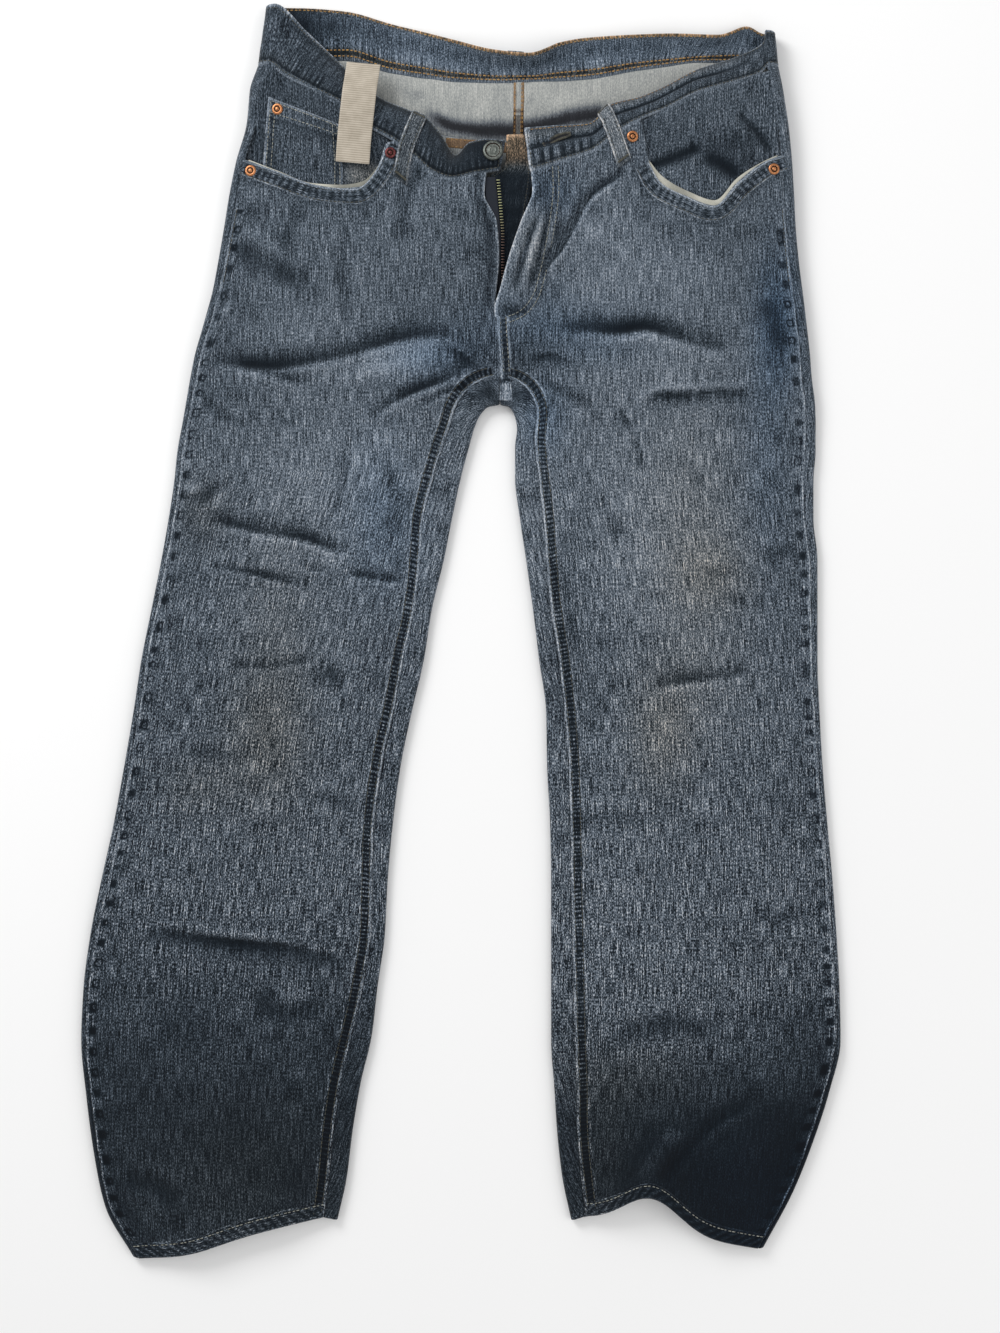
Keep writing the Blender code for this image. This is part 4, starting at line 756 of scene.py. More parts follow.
def facing_grid(side):
    low_y = FACING_LOW_Y[side]
    top = FACING_TOP[side]
    grid = []
    for side_y in (top[0][1], *FACING_SIDE_Y, low_y):
        share = (top[0][1] - side_y) / (top[0][1] - low_y)
        line = [(x, y + (low_y - y) * share) for x, y in top]
        edge_x, seam = side_edge(side, line[0][1])
        line[0] = (edge_x - SIGN[side] * (seam + GAP / 2), line[0][1])
        grid.append([facing_point(side, x, y) for x, y in line])
    return grid


def bag_rows(side):
    """The cotton bag: its front layer hangs from the opening, its back layer is under the facing."""
    under = DENIM + LAY_GAP
    deep = FACING_DEPTH[side] + DENIM + 3.5 * LAY_GAP + BAG_WALL
    bend = (deep - under) / 2
    plan = [line[:BAG_COLUMNS] for line in front_rows(side)[:TOP_ROWS + 1]]
    peek = plan[0] + [(0, SHOWN[side] * show) for _, _, show in FRONT_TOP[side][:BAG_COLUMNS]]
    for line in plan + [peek]:
        line[0] -= (SIGN[side] * 3, 0)  # the bag's sides stay clear of the side seam
    layers = [(line, 0, under) for line in [peek] + plan]
    for turn in (0.25 * math.pi, 0, -0.25 * math.pi):
        layers.append((plan[-1], bend * math.cos(turn), under + bend - bend * math.sin(turn)))
    layers += [(line, 0, deep) for line in plan[::-1]]
    return [[front_point("right", x, y - out, -drop) for x, y in line] for line, out, drop in layers]


def fly_facing_rows():
    """The layer behind the open flap, made from the panel's points."""
    grid = []
    for line in front_rows("left")[:TOP_ROWS + 1]:
        line[-1][0] += 1.5
        grid.append([front_point("left", x, y, -DENIM - LAY_GAP) for x, y in line[-4:]])
    grid[0] = [point + (below - point) * 0.08 for point, below in zip(grid[0], grid[1])]
    return grid


def shield_rows():
    return [[front_point("right", x_from + (x_to - x_from) * share, y, -depth)
             for share in (0, 0.5, 1)] for y, x_from, x_to, depth in SHIELD_ROWS]


def chain_level(side, x, y):
    """Depth of a tape's upper face under the front panels' level."""
    low = -DENIM - LAY_GAP - CHAIN_DIP * smooth((302 - y) / 12)
    if side == "right":
        return low
    high = flap_lift(x, y) - DENIM - 0.8 - LAY_GAP - 3.6
    return low + (high - low) * smooth((y - 288) / 20)


def zip_rows(side):
    """Points of one tape, and of the middle of the chain on its edge."""
    tape = []
    chain = []
    for y, *centres in CHAIN_ROWS:
        centre = centres[side == "left"]
        near = centre + SIGN[side] * (CHAIN_WIDTH / 2 + GAP)
        line = [front_point("right", near + SIGN[side] * TAPE_WIDTH * k / 2, y,
                            chain_level(side, near, y)) for k in range(3)]
        level = line[0][2]
        for point in line:
            point[2] = min(point[2], level)
        tape.append(line)
        chain.append((centre, y, level + (CHAIN_WALL - TAPE_WALL) / 2))
    return tape, np.array(chain)


# ======== sheets of points
def bend(points, knots, at):
    """A soft curve through points at their knots that never swings past them."""
    points = np.asarray(points, float)
    spans = np.diff(knots).reshape((-1,) + (1,) * (points.ndim - 1))
    slopes = np.diff(points, axis=0) / spans
    before, after = slopes[:-1], slopes[1:]
    steady = before * after > 0
    w1 = 2 * spans[1:] + spans[:-1]
    w2 = spans[1:] + 2 * spans[:-1]
    mean = (w1 + w2) / (w1 / np.where(steady, before, 1) + w2 / np.where(steady, after, 1))
    slope = np.concatenate((slopes[:1], np.where(steady, mean, 0), slopes[-1:]))
    i = np.clip(np.searchsorted(knots, at, side="right") - 1, 0, len(knots) - 2)
    span = spans[i]
    t = (at - knots[i]).reshape(span.shape) / span
    low = (1 + 2 * t) * (1 - t) ** 2 * points[i] + t * (1 - t) ** 2 * span * slope[i]
    return low + t * t * (3 - 2 * t) * points[i + 1] + t * t * (t - 1) * span * slope[i + 1]


def cuts(lengths, size):
    """Knots of intervals with these lengths, places that split each into steps of about a size,
    and the interval that each step lies in."""
    knots = np.concatenate(([0], np.cumsum(lengths)))
    at = [0]
    interval = []
    for k, length in enumerate(lengths):
        count = max(1, int(round(length / size)))
        at += [knots[k] + length * (n + 1) / count for n in range(count)]
        interval += [k] * count
    return knots, np.array(at), interval


def refine(rows, row_size, column_size):
    """A fine sheet of points from a coarse one, which of its cells hold cloth, and where its
    rows and columns lie, counted in the coarse ones."""
    width = max(len(row) for row in rows)
    empty = [np.nan] * len(rows[0][0])
    grid = np.array([[empty if p is None else list(p) for p in row] + [empty] * (width - len(row))
                     for row in rows], float)
    real = ~np.isnan(grid[..., 0])
    cells = real[:-1, :-1] & real[:-1, 1:] & real[1:, 1:] & real[1:, :-1]
    row_lengths = np.nanmean(np.linalg.norm(np.diff(grid, axis=0), axis=-1), axis=1)
    column_lengths = np.nanmean(np.linalg.norm(np.diff(grid, axis=1), axis=-1), axis=0)
    for j in range(1, width):
        grid[:, j] = np.where(real[:, j, None], grid[:, j], grid[:, j - 1])
    row_knots, row_at, row_of = cuts(row_lengths, row_size)
    column_knots, column_at, column_of = cuts(column_lengths, column_size)
    grid = bend(grid, row_knots, row_at)
    grid = np.moveaxis(bend(np.moveaxis(grid, 1, 0), column_knots, column_at), 0, 1)
    row = np.interp(row_at, row_knots, range(len(row_knots)))
    column = np.interp(column_at, column_knots, range(len(column_knots)))
    return grid, cells[np.ix_(row_of, column_of)], row, column


def normals_of(grid, outside=1):
    """Unit normals of a sheet of points, turned out of the garment."""
    return unit(np.cross(np.gradient(grid, axis=1), np.gradient(grid, axis=0)) * outside)


def run_of(grid):
    """Length along each row of a sheet from its first point."""
    across = np.linalg.norm(np.diff(grid, axis=1), axis=-1)
    return np.concatenate((np.zeros((len(grid), 1)), np.cumsum(across, axis=1)), axis=1)


def weave_of(grid):
    """Cloth coordinates of a sheet: across it from its middle, and along it."""
    u = run_of(grid)
    middle = u.shape[1] // 2
    v = np.broadcast_to(along(grid[:, middle])[:, None], u.shape)
    return np.stack((u - u[:, middle][:, None], v), axis=-1)


def finish_mesh(name, points, faces, materials, places=None):
    """A piece of the garment from points in millimetres."""
    mesh = bpy.data.meshes.new(name)
    mesh.from_pydata((points * MM).tolist(), [], faces)
    for material in materials:
        mesh.materials.append(material)
    if places is not None:
        mesh.polygons.foreach_set("material_index", places)
    mesh.shade_smooth()
    piece = bpy.data.objects.new(name, mesh)
    bpy.context.scene.collection.objects.link(piece)
    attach(piece, GARMENT)
    return piece


def paint(piece, wash_and_shade, stain, weave):
    """Sets how washed each point is, with the painted shade and highlights it carries, how brown it is, and
    its place in the weave.
    """
    mesh = piece.data
    for label, values in (("wash_and_shade", wash_and_shade), ("stain", stain)):
        layer = mesh.attributes.new(label, "FLOAT", "POINT")
        layer.data.foreach_set("value", values.astype(np.float32))
    corners = np.empty(len(mesh.loops), int)
    mesh.loops.foreach_get("vertex_index", corners)
    layer = mesh.uv_layers.new(name="weave")
    layer.data.foreach_set("uv", (weave * MM)[corners].astype(np.float32).ravel())


def shell(name, grid, wall, face, back=None, outside=1, cells=None, plumb=False,
          wash_and_shade=0.3, stain=0, back_wash_and_shade=None, rim=0, weave=None):
    """A closed wall of cloth with round edges under a sheet of points on its outer face."""
    shape = grid.shape[:2]
    number = np.arange(shape[0] * shape[1]).reshape(shape)
    quads = np.stack((number[:-1, :-1], number[:-1, 1:], number[1:, 1:], number[1:, :-1]), axis=-1)
    quads = quads[cells] if cells is not None else quads.reshape(-1, 4)
    if outside < 0:
        quads = quads[:, ::-1]
    used, quads = np.unique(quads, return_inverse=True)
    quads = quads.reshape(-1, 4)
    count = len(used)
    outer = grid.reshape(-1, 3)[used]
    normal = normals_of(grid, outside).reshape(-1, 3)[used]
    inner = outer - wall * (UP if plumb else normal)

    start = quads.ravel()
    end = np.roll(quads, -1, axis=1).ravel()
    edge = ~np.isin(start * count + end, end * count + start)
    start, end = start[edge], end[edge]
    out = np.zeros((count, 3))
    push = np.cross(outer[end] - outer[start], normal[start])
    np.add.at(out, start, push)
    np.add.at(out, end, push)
    ring = np.unique(start)
    middle = (outer[ring] + inner[ring]) / 2 + unit(out[ring]) * wall * 0.45
    place = np.zeros(count, int)
    place[ring] = np.arange(len(ring)) + 2 * count

    faces = np.concatenate((
        quads,
        quads[:, ::-1] + count,
        np.stack((end, start, place[start], place[end]), axis=1),
        np.stack((place[end], place[start], start + count, end + count), axis=1),
    ))
    places = np.zeros(len(faces), np.int32)
    places[len(quads):2 * len(quads)] = 0 if back is None else 1
    piece = finish_mesh(name, np.concatenate((outer, inner, middle)), faces.tolist(),
                        [face] if back is None else [face, back], places)

    back_wash_and_shade = wash_and_shade if back_wash_and_shade is None else back_wash_and_shade
    wash_and_shade, stain, back_wash_and_shade = (np.broadcast_to(v, shape).ravel()[used] for v in (wash_and_shade, stain, back_wash_and_shade))
    edge_wash_and_shade = wash_and_shade.copy()
    edge_wash_and_shade[ring] += rim
    weave = (weave_of(grid) if weave is None else weave).reshape(-1, 2)[used]
    paint(piece, np.concatenate((edge_wash_and_shade, back_wash_and_shade, wash_and_shade[ring] + rim * 1.3)),
          np.concatenate((stain, stain, stain[ring])), np.concatenate((weave, weave, weave[ring])))
    return piece


# ======== finishes
def srgb(red, green, blue):
    """A colour as a painter names it, made linear."""
    return tuple(((c / 255 + 0.055) / 1.055) ** 2.4 if c > 10 else c / 3294.6
                 for c in (red, green, blue)) + (1,)


class Finish:
    """One material and short calls that add its nodes."""

    def __init__(self, name, rough, metal=0, shine=0.2, sheen=0):
        self.material = bpy.data.materials.new(name)
        self.material.use_nodes = True
        self.nodes = self.material.node_tree.nodes
        self.links = self.material.node_tree.links
        self.inputs = self.nodes["Principled BSDF"].inputs
        for label, value in (("Roughness", rough), ("Metallic", metal),
                             ("Specular IOR Level", shine), ("Sheen Weight", sheen)):
            self.inputs[label].default_value = value

    def add(self, kind, output=0, settings=None, **inputs):
        """A node's output; inputs are named, or numbered after an underscore."""
        node = self.nodes.new("ShaderNode" + kind)
        for key, value in (settings or {}).items():
            setattr(node, key, value)
        for key, value in inputs.items():
            socket = node.inputs[int(key[1:]) if key[0] == "_" else key]
            if isinstance(value, bpy.types.NodeSocket):
                self.links.new(value, socket)
            else:
                socket.default_value = value
        return node.outputs[output]

    def attribute(self, name):
        return self.add("Attribute", 2, {"attribute_name": name})

    def weave(self, across, along_it, turn=0):
        """The cloth's own coordinates, stretched, one unit to a cell of the pattern."""
        vector = self.add("UVMap", 0, {"uv_map": "weave"})
        return self.add("Mapping", Vector=vector, Rotation=(0, 0, turn),
                        Scale=(across, along_it, 1))

    def place(self, scale):
        return self.add("Mapping", Vector=self.add("TexCoord", 3), Scale=(scale,) * 3)

    def noise(self, vector, detail=2, rough=0.5):
        return self.add("TexNoise", Vector=vector, Scale=1, Detail=detail, Roughness=rough)

    def speckle(self, across, along_it, detail=2, rough=0.5):
        return self.noise(self.weave(across, along_it), detail, rough)

    def ribs(self, vector, scale, **inputs):
        return self.add("TexWave", 1, {"wave_type": "BANDS"}, Vector=vector, Scale=scale, **inputs)

    def sum(self, kind, a, b, c=0):
        return self.add("Math", 0, {"operation": kind}, _0=a, _1=b, _2=c)

    def mix(self, share, first, second, kind="MIX"):
        return self.add("Mix", 2, {"data_type": "RGBA", "blend_type": kind}, _0=share, _6=first,
                        _7=second)

    def ramp(self, value, stops):
        """A ramp of colours; a stop is its place and a colour, painter's or linear."""
        node = self.nodes.new("ShaderNodeValToRGB")
        elements = node.color_ramp.elements
        while len(elements) < len(stops):
            elements.new(0.5)
        for element, (at, _) in zip(elements, stops):
            element.position = at
        for element, (_, colour) in zip(elements, stops):
            element.color = colour if len(colour) == 4 else srgb(*colour)
        self.links.new(value, node.inputs[0])
        return node.outputs[0]

    def finish(self, colour, height, distance, strength):
        self.links.new(colour, self.inputs["Base Color"])
        normal = self.add("Bump", Height=height, Distance=distance, Strength=strength)
        self.links.new(normal, self.inputs["Normal"])
        return self.material


INDIGO = (
    (0, (0.002, 0.004, 0.007, 1)), (0.1, (16, 25, 33)), (0.2, (41, 49, 57)),
    (0.3, (66, 76, 86)), (0.4, (91, 101, 112)), (0.5, (118, 128, 140)),
    (0.65, (158, 166, 176)), (0.85, (208, 211, 214)),
)
WEFT = (
    (0, (0.004, 0.004, 0.005, 1)), (0.2, (48, 50, 55)), (0.4, (98, 103, 109)),
    (0.6, (152, 155, 153)), (0.85, (212, 211, 206)),
)
BROWNED = (1.13, 0.99, 0.83, 1)
BLUER = (0.78, 1, 1.22, 1)
RUSTY = (1.55, 0.97, 0.56, 1)


def denim_finish(name, stops, grain=1):
    """Washed twill: light slubs along the warp, fine speckle, over a tone set by each point's wear and
    painted shade.
    """
    look = Finish(name, 0.92, shine=0.12, sheen=0.12)
    wash_and_shade = look.attribute("wash_and_shade")
    slub = look.speckle(1250, 520, rough=0.6)
    streak = look.speckle(420, 26)
    fine = look.speckle(1100, 60, detail=1)
    speck = look.speckle(1500, 1300, rough=0.7)
    cloud = look.speckle(45, 30, detail=3, rough=0.6)
    twill = look.ribs(look.weave(1, 1, 1), 300, Distortion=0.4)
    mixed = look.add("MapRange", Value=slub, _1=0.4, _2=0.68, _3=-0.3, _4=0.5)
    for part, weight, middle in ((fine, 1.5, 0.75), (speck, 1, 0.54), (streak, 0.3, 0.15),
                                 (cloud, 0.15, 0.075), (twill, 0.06, 0.03)):
        mixed = look.sum("MULTIPLY_ADD", part, weight, look.sum("SUBTRACT", mixed, middle))
    amount = look.add("MapRange", Value=wash_and_shade, _1=0.1, _2=0.26, _3=0.13 * grain, _4=0.62 * grain)
    height = look.add("SeparateXYZ", 1, Vector=look.place(1))
    worn = look.add("MapRange", Value=height, _1=-0.28, _2=0.27, _3=1.3, _4=0.72)
    value = look.sum("MULTIPLY_ADD", mixed, look.sum("MULTIPLY", amount, worn), wash_and_shade)
    base = look.ramp(value, stops)
    tint = look.mix(1, base, BROWNED, "MULTIPLY")
    soiled = look.mix(look.add("Clamp", Value=look.attribute("stain")), base, tint)
    deep = look.mix(1, base, BLUER, "MULTIPLY")
    other = look.add("Clamp", Value=look.sum("MULTIPLY", look.attribute("stain"), -1))
    cloth = look.mix(other, soiled, deep)
    rusty = look.mix(1, cloth, RUSTY, "MULTIPLY")
    more = look.add("Clamp", Value=look.sum("SUBTRACT", look.attribute("stain"), 1))
    colour = look.mix(more, cloth, rusty)
    threads = look.sum("ADD", look.sum("ADD", slub, speck), look.sum("MULTIPLY", twill, 0.5))
    return look.finish(colour, threads, 0.00022, 0.8)


def cotton_finish():
    look = Finish("pocket_cotton", 0.95, shine=0.1, sheen=0.1)
    cloud = look.speckle(120, 120, detail=4)
    plain = look.speckle(1500, 1500, detail=1)
    both = look.sum("MULTIPLY_ADD", plain, 0.4, look.sum("MULTIPLY", cloud, 0.6))
    clean = look.ramp(both, ((0.25, (160, 160, 146)), (0.5, (198, 196, 184)), (0.8, (226, 224, 214))))
    # Painted shade: where a point's wash value is low the cotton turns to a dark shade colour.
    return look.finish(look.mix(look.attribute("wash_and_shade"), srgb(58, 62, 58), clean), both, 0.0002, 0.7)


def label_finish():
    look = Finish("woven_label", 0.55, shine=0.4, sheen=0.2)
    ribs = look.ribs(look.weave(1, 1), 170, Distortion=0.6)
    ribs.node.bands_direction = "Y"
    cloud = look.speckle(90, 90, detail=3)
    both = look.sum("MULTIPLY_ADD", ribs, 0.35, look.sum("MULTIPLY", cloud, 0.65))
    cream = look.ramp(both, ((0.2, (138, 129, 113)), (0.5, (168, 158, 143)), (0.85, (196, 187, 172))))
    return look.finish(cream, both, 0.0003, 0.8)


def tape_finish():
    look = Finish("zip_tape", 0.85)
    ribs = look.ribs(look.weave(1, 1), 450)
    return look.finish(look.ramp(ribs, ((0.2, (22, 26, 33)), (0.8, (46, 50, 58)))), ribs, 0.0001, 0.8)


def metal_finish(name, rough, *stops):
    """Worn metal: a cloud of darker and brighter places, the brighter ones rougher."""
    look = Finish(name, rough, metal=1, shine=0.5)
    cloud = look.noise(look.place(900), detail=4, rough=0.65)
    colour = look.ramp(cloud, stops)
    wear = look.add("MapRange", Value=cloud, _3=rough - 0.12, _4=rough + 0.2)
    look.links.new(wear, look.inputs["Roughness"])
    return look.finish(colour, look.noise(look.place(2700)), 0.00008, 0.5)


def thread_finish(name, dark, light):
    look = Finish(name, 0.7, shine=0.25, sheen=0.2)
    colour = look.ramp(look.noise(look.place(420)), ((0.3, dark), (0.7, light)))
    return look.finish(colour, look.noise(look.place(2600)), 0.00008, 0.6)


def teeth_finish():
    """Brass teeth, painted lit and shaded: bright and greenish near the waist, dull and reddish in the
    lower half, which lies in painted shade.
    """
    look = Finish("zip_teeth", 0.42, metal=0.35, shine=0.5)
    height = look.add("SeparateXYZ", 1, Vector=look.place(1))
    upper = look.add("MapRange", Value=height, _1=0.318, _2=0.345)
    colour = look.ramp(upper, ((0, (104, 84, 78)), (1, (178, 180, 138))))
    look.links.new(colour, look.inputs["Base Color"])
    return look.material


DENIM_FACE = denim_finish("denim", INDIGO)
DENIM_BACK = denim_finish("denim_weft_side", WEFT, grain=0.4)
COTTON = cotton_finish()
LABEL_TAPE = label_finish()
ZIP_TAPE = tape_finish()
TEETH = teeth_finish()
BRASS = metal_finish("zip_brass", 0.4, (0.25, (62, 56, 40)), (0.5, (122, 114, 84)), (0.8, (188, 180, 142)))
COPPER = metal_finish("copper_metal", 0.38, (0.25, (112, 66, 44)), (0.5, (188, 126, 84)),
                      (0.8, (232, 184, 142)))
# A darker copy of the copper: painted shade for the rivet that lies in shade.
COPPER_IN_SHADE = metal_finish("copper_painted_shade", 0.42, (0.25, (46, 28, 30)), (0.5, (96, 52, 54)),
                           (0.8, (160, 106, 100)))
# Dark metal for recessed rings: painted shade.
RECESS_SHADE = metal_finish("recess_painted_shade", 0.6, (0.25, (22, 17, 15)), (0.8, (62, 48, 40)))
PEWTER = metal_finish("pewter_metal", 0.44, (0.25, (58, 62, 60)), (0.5, (98, 103, 99)),
                      (0.8, (160, 163, 156)))
THREAD_DARK = thread_finish("thread_tonal", (48, 50, 48), (88, 86, 74))
THREAD_GOLD = thread_finish("thread_gold", (112, 80, 44), (186, 146, 84))
THREAD_WORN = thread_finish("thread_worn", (112, 114, 108), (168, 168, 158))
SHADOW = thread_finish("slit_shadow", (10, 12, 16), (22, 24, 30))


# ======== the upper layer's plan
def shaded(side, x, y):
    """Wash and stain of a front, with painted shade in its creases and a painted highlight where its relief
    rises.
    """
    wash_and_shade, brown = wash_and_shade_at(side, x, y)
    lift, dark = (read(field, x, y) for field in RELIEF[side])
    wash_and_shade = wash_and_shade - 0.21 * dark * np.clip(wash_and_shade / 0.3, 0.2, 1.1) + 0.022 * np.clip(lift, -0.5, 2)
    return wash_and_shade, brown


def opening_edge(side, each=6):
    return soft_line([point[:2] for point in FRONT_TOP[side][:BAG_COLUMNS]], each)


def into_panel(line):
    """The way from a pocket opening down into its panel, at each point of its line."""
    inward = offset(line, 1) - line
    return -inward if inward[len(inward) // 2, 1] > 0 else inward


def edge_line(side, which, from_y=1e9, to_y=-1e9, step=1.1):
    """A front's side seam or inseam as a line in plan, and the way from it into the panel."""
    if which == "inseam":
        rows = spaced(soft_line(LEG_ROWS[side], 12), step)
        ahead = np.gradient(rows[:, 2:4], axis=0)
        out = unit(np.stack((ahead[:, 1], -ahead[:, 0]), axis=1) * SIGN[side])
        line = rows[:, 2:4] - out * rows[:, 5:6]
    else:
        line = spaced(soft_line(side_rows(side), 10), step)
        out = np.tile((SIGN[side], 0), (len(line), 1))
        line = line[:, :2] - out * line[:, 2:3]
    keep = (line[:, 1] < from_y) & (line[:, 1] > to_y)
    return line[keep], -out[keep]


def ridge_strip(name, side, line, inward, profile, marks):
    """A seam's raised strip on a front; marks gives the wash and height to add."""
    widths, heights = np.transpose(profile)
    steps = np.linspace(widths[0], widths[-1], int((widths[-1] - widths[0]) / 0.85) + 2)
    x, y = (line[:, None, k] + inward[:, None, k] * steps for k in (0, 1))
    s = along(line)[:, None] + 0 * x
    w = steps + 0 * x
    wash_and_shade, brown = shaded(side, x, y)
    extra_wash, extra_lift = marks(s, w)
    grid = lay(side, x, y, 0.15 + np.interp(w, widths, heights) + extra_lift)
    turn = np.cross(np.gradient(grid, axis=1), np.gradient(grid, axis=0))[..., 2].mean()
    return shell(name, grid, 0.7, DENIM_FACE, outside=np.sign(turn), plumb=True,
                 wash_and_shade=wash_and_shade + extra_wash, stain=brown, rim=0.05, weave=np.stack((w, s), axis=-1))


def rungs(s, w, pitch, low, high, seed):
    """Ladder of a sewn edge: light high places and dark low ones at the stitches' pitch."""
    phase = s / pitch * TAU + 2.4 * noise(s, w * 0.4, 9, seed) + 0.7 * (w - low) / (high - low)
    wave = np.sin(phase) * (0.75 + 0.25 * noise(s, w, 17, seed + 1))
    band = smooth((w - low) / 0.9) * smooth((high - w) / 0.9)
    return wave * band, band


def inseam_marks(seed):
    """The felled inseam: a bright folded edge, a dark ladder, a frayed light edge beyond it."""
    def marks(s, w):
        wave, band = rungs(s, w, 3.5, 1.5, 8.6, seed)
        worn = bell(w - 9.3 - 0.6 * noise(s, w * 0, 6, seed + 4), 0, 1.3)
        patchy = 0.75 + 0.25 * noise(s, w * 0, 14, seed + 3)
        wash_and_shade = 0.28 * bell(w, 0.6, 0.95) * patchy + band * (-0.16 + 0.18 * wave) + 0.1 * worn * patchy
        return wash_and_shade, 0.26 * wave + 0.1 * noise(s, w, 5, seed + 5)
    return marks


def side_seam_marks(seed):
    """The side seam: a thin bright line with dark puckers beside it."""
    def marks(s, w):
        at = s / 17 + 0.45 * noise(s, s * 0, 40, seed)
        pucker = smooth(1.9 * (0.5 + 0.5 * np.sin(at * TAU)) - 0.85)
        pucker = pucker * (0.7 + 0.3 * noise(s, s * 0, 21, seed + 1))
        beside = bell(w, 5, 3, 4)
        patchy = 0.7 + 0.3 * noise(s, w * 0, 9, seed + 2)
        wash_and_shade = 0.28 * bell(w, 0.7, 0.95) * patchy - 0.34 * pucker * beside
        return wash_and_shade + 0.04 * beside * (1 - pucker), -0.45 * pucker * beside
    return marks


def hem_marks(s, w):
    """The turned hem, roped where it was sewn."""
    rope = np.sin((s + 0.9 * w) / 7.5 * TAU + 1.6 * noise(s, w, 19, 61))
    rope = rope * smooth(w / 2) * smooth((12.5 - w) / 2.5)
    line = bell(w, 10.3, 0.9)
    edge = bell(w, 0.4, 0.9) + 0.6 * bell(w, 12.4, 0.7)
    wash_and_shade = 0.06 * rope + 0.015 + 0.13 * edge * (0.6 + 0.4 * noise(s, w * 0, 8, 63))
    return wash_and_shade - 0.04 * line, 0.45 * rope - 0.3 * line


def opening_marks(s, w):
    """The turned edge of a pocket opening, between its two rows of stitches."""
    wave, band = rungs(s, w, 5.6, 2, 11, 71)
    outer = bell(w, 11.6, 0.8) * (0.6 + 0.4 * noise(s, w * 0, 7, 73))
    return 0.22 * bell(w, 0.4, 0.9) + 0.19 * outer + 0.13 * wave - 0.08 * band, 0.25 * wave


def centre_marks(s, w):
    """The centre-front fell, ending in a knot of seams at the crotch."""
    wave, band = rungs(s, w, 4, 2.6, 7.6, 91)
    wash_and_shade = 0.3 * bell(w, 0.4, 0.9) + 0.22 * bell(w, 8.2, 0.9) + band * (-0.12 + 0.1 * wave)
    low = s - s.max() + 15
    wash_and_shade = wash_and_shade * smooth(-low / 2) - 0.2 * bell(low, -0.6, 1.5)
    knot = smooth((low - 1) / 1.5)
    wash_and_shade += knot * (0.04 + 0.2 * bell(w, 4.2, 3.2, 4) + 0.05 * noise(s, w, 4, 97))
    return wash_and_shade, 0.2 * wave * (1 - knot) + 0.5 * knot


# Widths from the seam and heights over it
INSEAM_PROFILE = ((-0.3, 0.5), (0.3, 0.85), (1.2, 0.75), (2, 0.5), (7, 0.42), (9, 0.2), (10.5, -0.25))
SIDE_PROFILE = ((-0.3, 0.35), (0.4, 0.6), (1.2, 0.35), (3.5, 0.2), (8.5, 0.1), (9.6, -0.25))
HEM_PROFILE = ((-0.4, 0.2), (0.4, 0.9), (2, 1.15), (8.5, 0.95), (11, 0.8), (12.2, 0.45), (13, -0.2))
OPENING_PROFILE = ((0, 0.5), (0.8, 0.85), (2, 0.75), (10.5, 0.55), (11.6, 0.25), (12.4, -0.25))
CENTRE_PROFILE = ((-0.8, 0.25), (0.2, 0.9), (1.4, 0.8), (3, 0.55), (7, 0.45), (8.4, 0.15), (9.2, -0.25))


# ======== small repeated shapes
def open_end(piece, axis, sign=1):
    """Selects the faces at one end of a piece, in edit mode."""
    bpy.ops.object.mode_set(mode="EDIT")
    bpy.ops.mesh.select_mode(type="FACE")
    bpy.ops.mesh.select_all(action="DESELECT")
    bpy.ops.object.mode_set(mode="OBJECT")
    for face in piece.data.polygons:
        face.select = face.normal[axis] * sign > 0.9
    bpy.ops.object.mode_set(mode="EDIT")


def draw_out(move, scale):
    bpy.ops.mesh.extrude_region_move(TRANSFORM_OT_translate={"value": move})
    bpy.ops.transform.resize(value=scale)


def soften(piece, width, **settings):
    bpy.ops.object.mode_set(mode="OBJECT")
    bevel = piece.modifiers.new("soft edges", "BEVEL")
    bevel.limit_method = "ANGLE"
    for key, value in {"width": width, **settings}.items():
        setattr(bevel, key, value)
    bpy.ops.object.modifier_apply(modifier="soft edges")


def template(piece):
    """A piece's points and faces, to repeat; the piece itself goes."""
    bpy.ops.object.mode_set(mode="OBJECT")
    points = np.array([v.co[:] for v in piece.data.vertices])
    faces = [list(face.vertices) for face in piece.data.polygons]
    bpy.data.objects.remove(piece, do_unlink=True)
    return points, faces


def stitch_bead():
    """One stitch, a short bowed bead one unit long, wide and high."""
    bpy.ops.mesh.primitive_cylinder_add(vertices=5, radius=0.5, depth=0.5,
                                        rotation=(math.pi / 2, 0, 0))
    bpy.ops.object.transform_apply(location=False, rotation=True, scale=False)
    bead = bpy.context.object
    for end in (-1, 1):
        open_end(bead, 1, end)
        draw_out((0, 0.25 * end, -0.3), (0.45, 1, 0.45))
        bpy.ops.object.mode_set(mode="OBJECT")
    return template(bead)


def zip_tooth():
    """One tooth: a block with a rounded head and a waist where it grips the tape's cord."""
    bpy.ops.mesh.primitive_cube_add(size=1)
    tooth = bpy.context.object
    tooth.scale = (2, 0.72, 1.7)
    bpy.ops.object.transform_apply(location=False, rotation=False, scale=True)
    open_end(tooth, 0)
    draw_out((0.9, 0, 0), (1, 0.75, 0.8))
    draw_out((0.5, 0, 0), (1, 0.55, 0.6))
    soften(tooth, 0.14, segments=1)
    return template(tooth)


def repeat(name, shape, centres, ahead, up, sizes, material):
    """Copies of one small shape as a joined mesh; sizes are its width, length and height."""
    points, faces = shape
    up = unit(up)
    ahead = unit(ahead - up * (ahead * up).sum(axis=1)[:, None])
    across = np.cross(ahead, up)
    local = points[None] * np.broadcast_to(sizes, (len(centres), 3))[:, None]
    placed = (centres[:, None] + local[..., :1] * across[:, None] + local[..., 1:2] * ahead[:, None]
              + local[..., 2:] * up[:, None])
    copies = [[v + k * len(points) for v in face] for k in range(len(centres)) for face in faces]
    return finish_mesh(name, placed.reshape(-1, 3), copies, [material])


# ======== stitches
BEAD = stitch_bead()
SEWN = {}


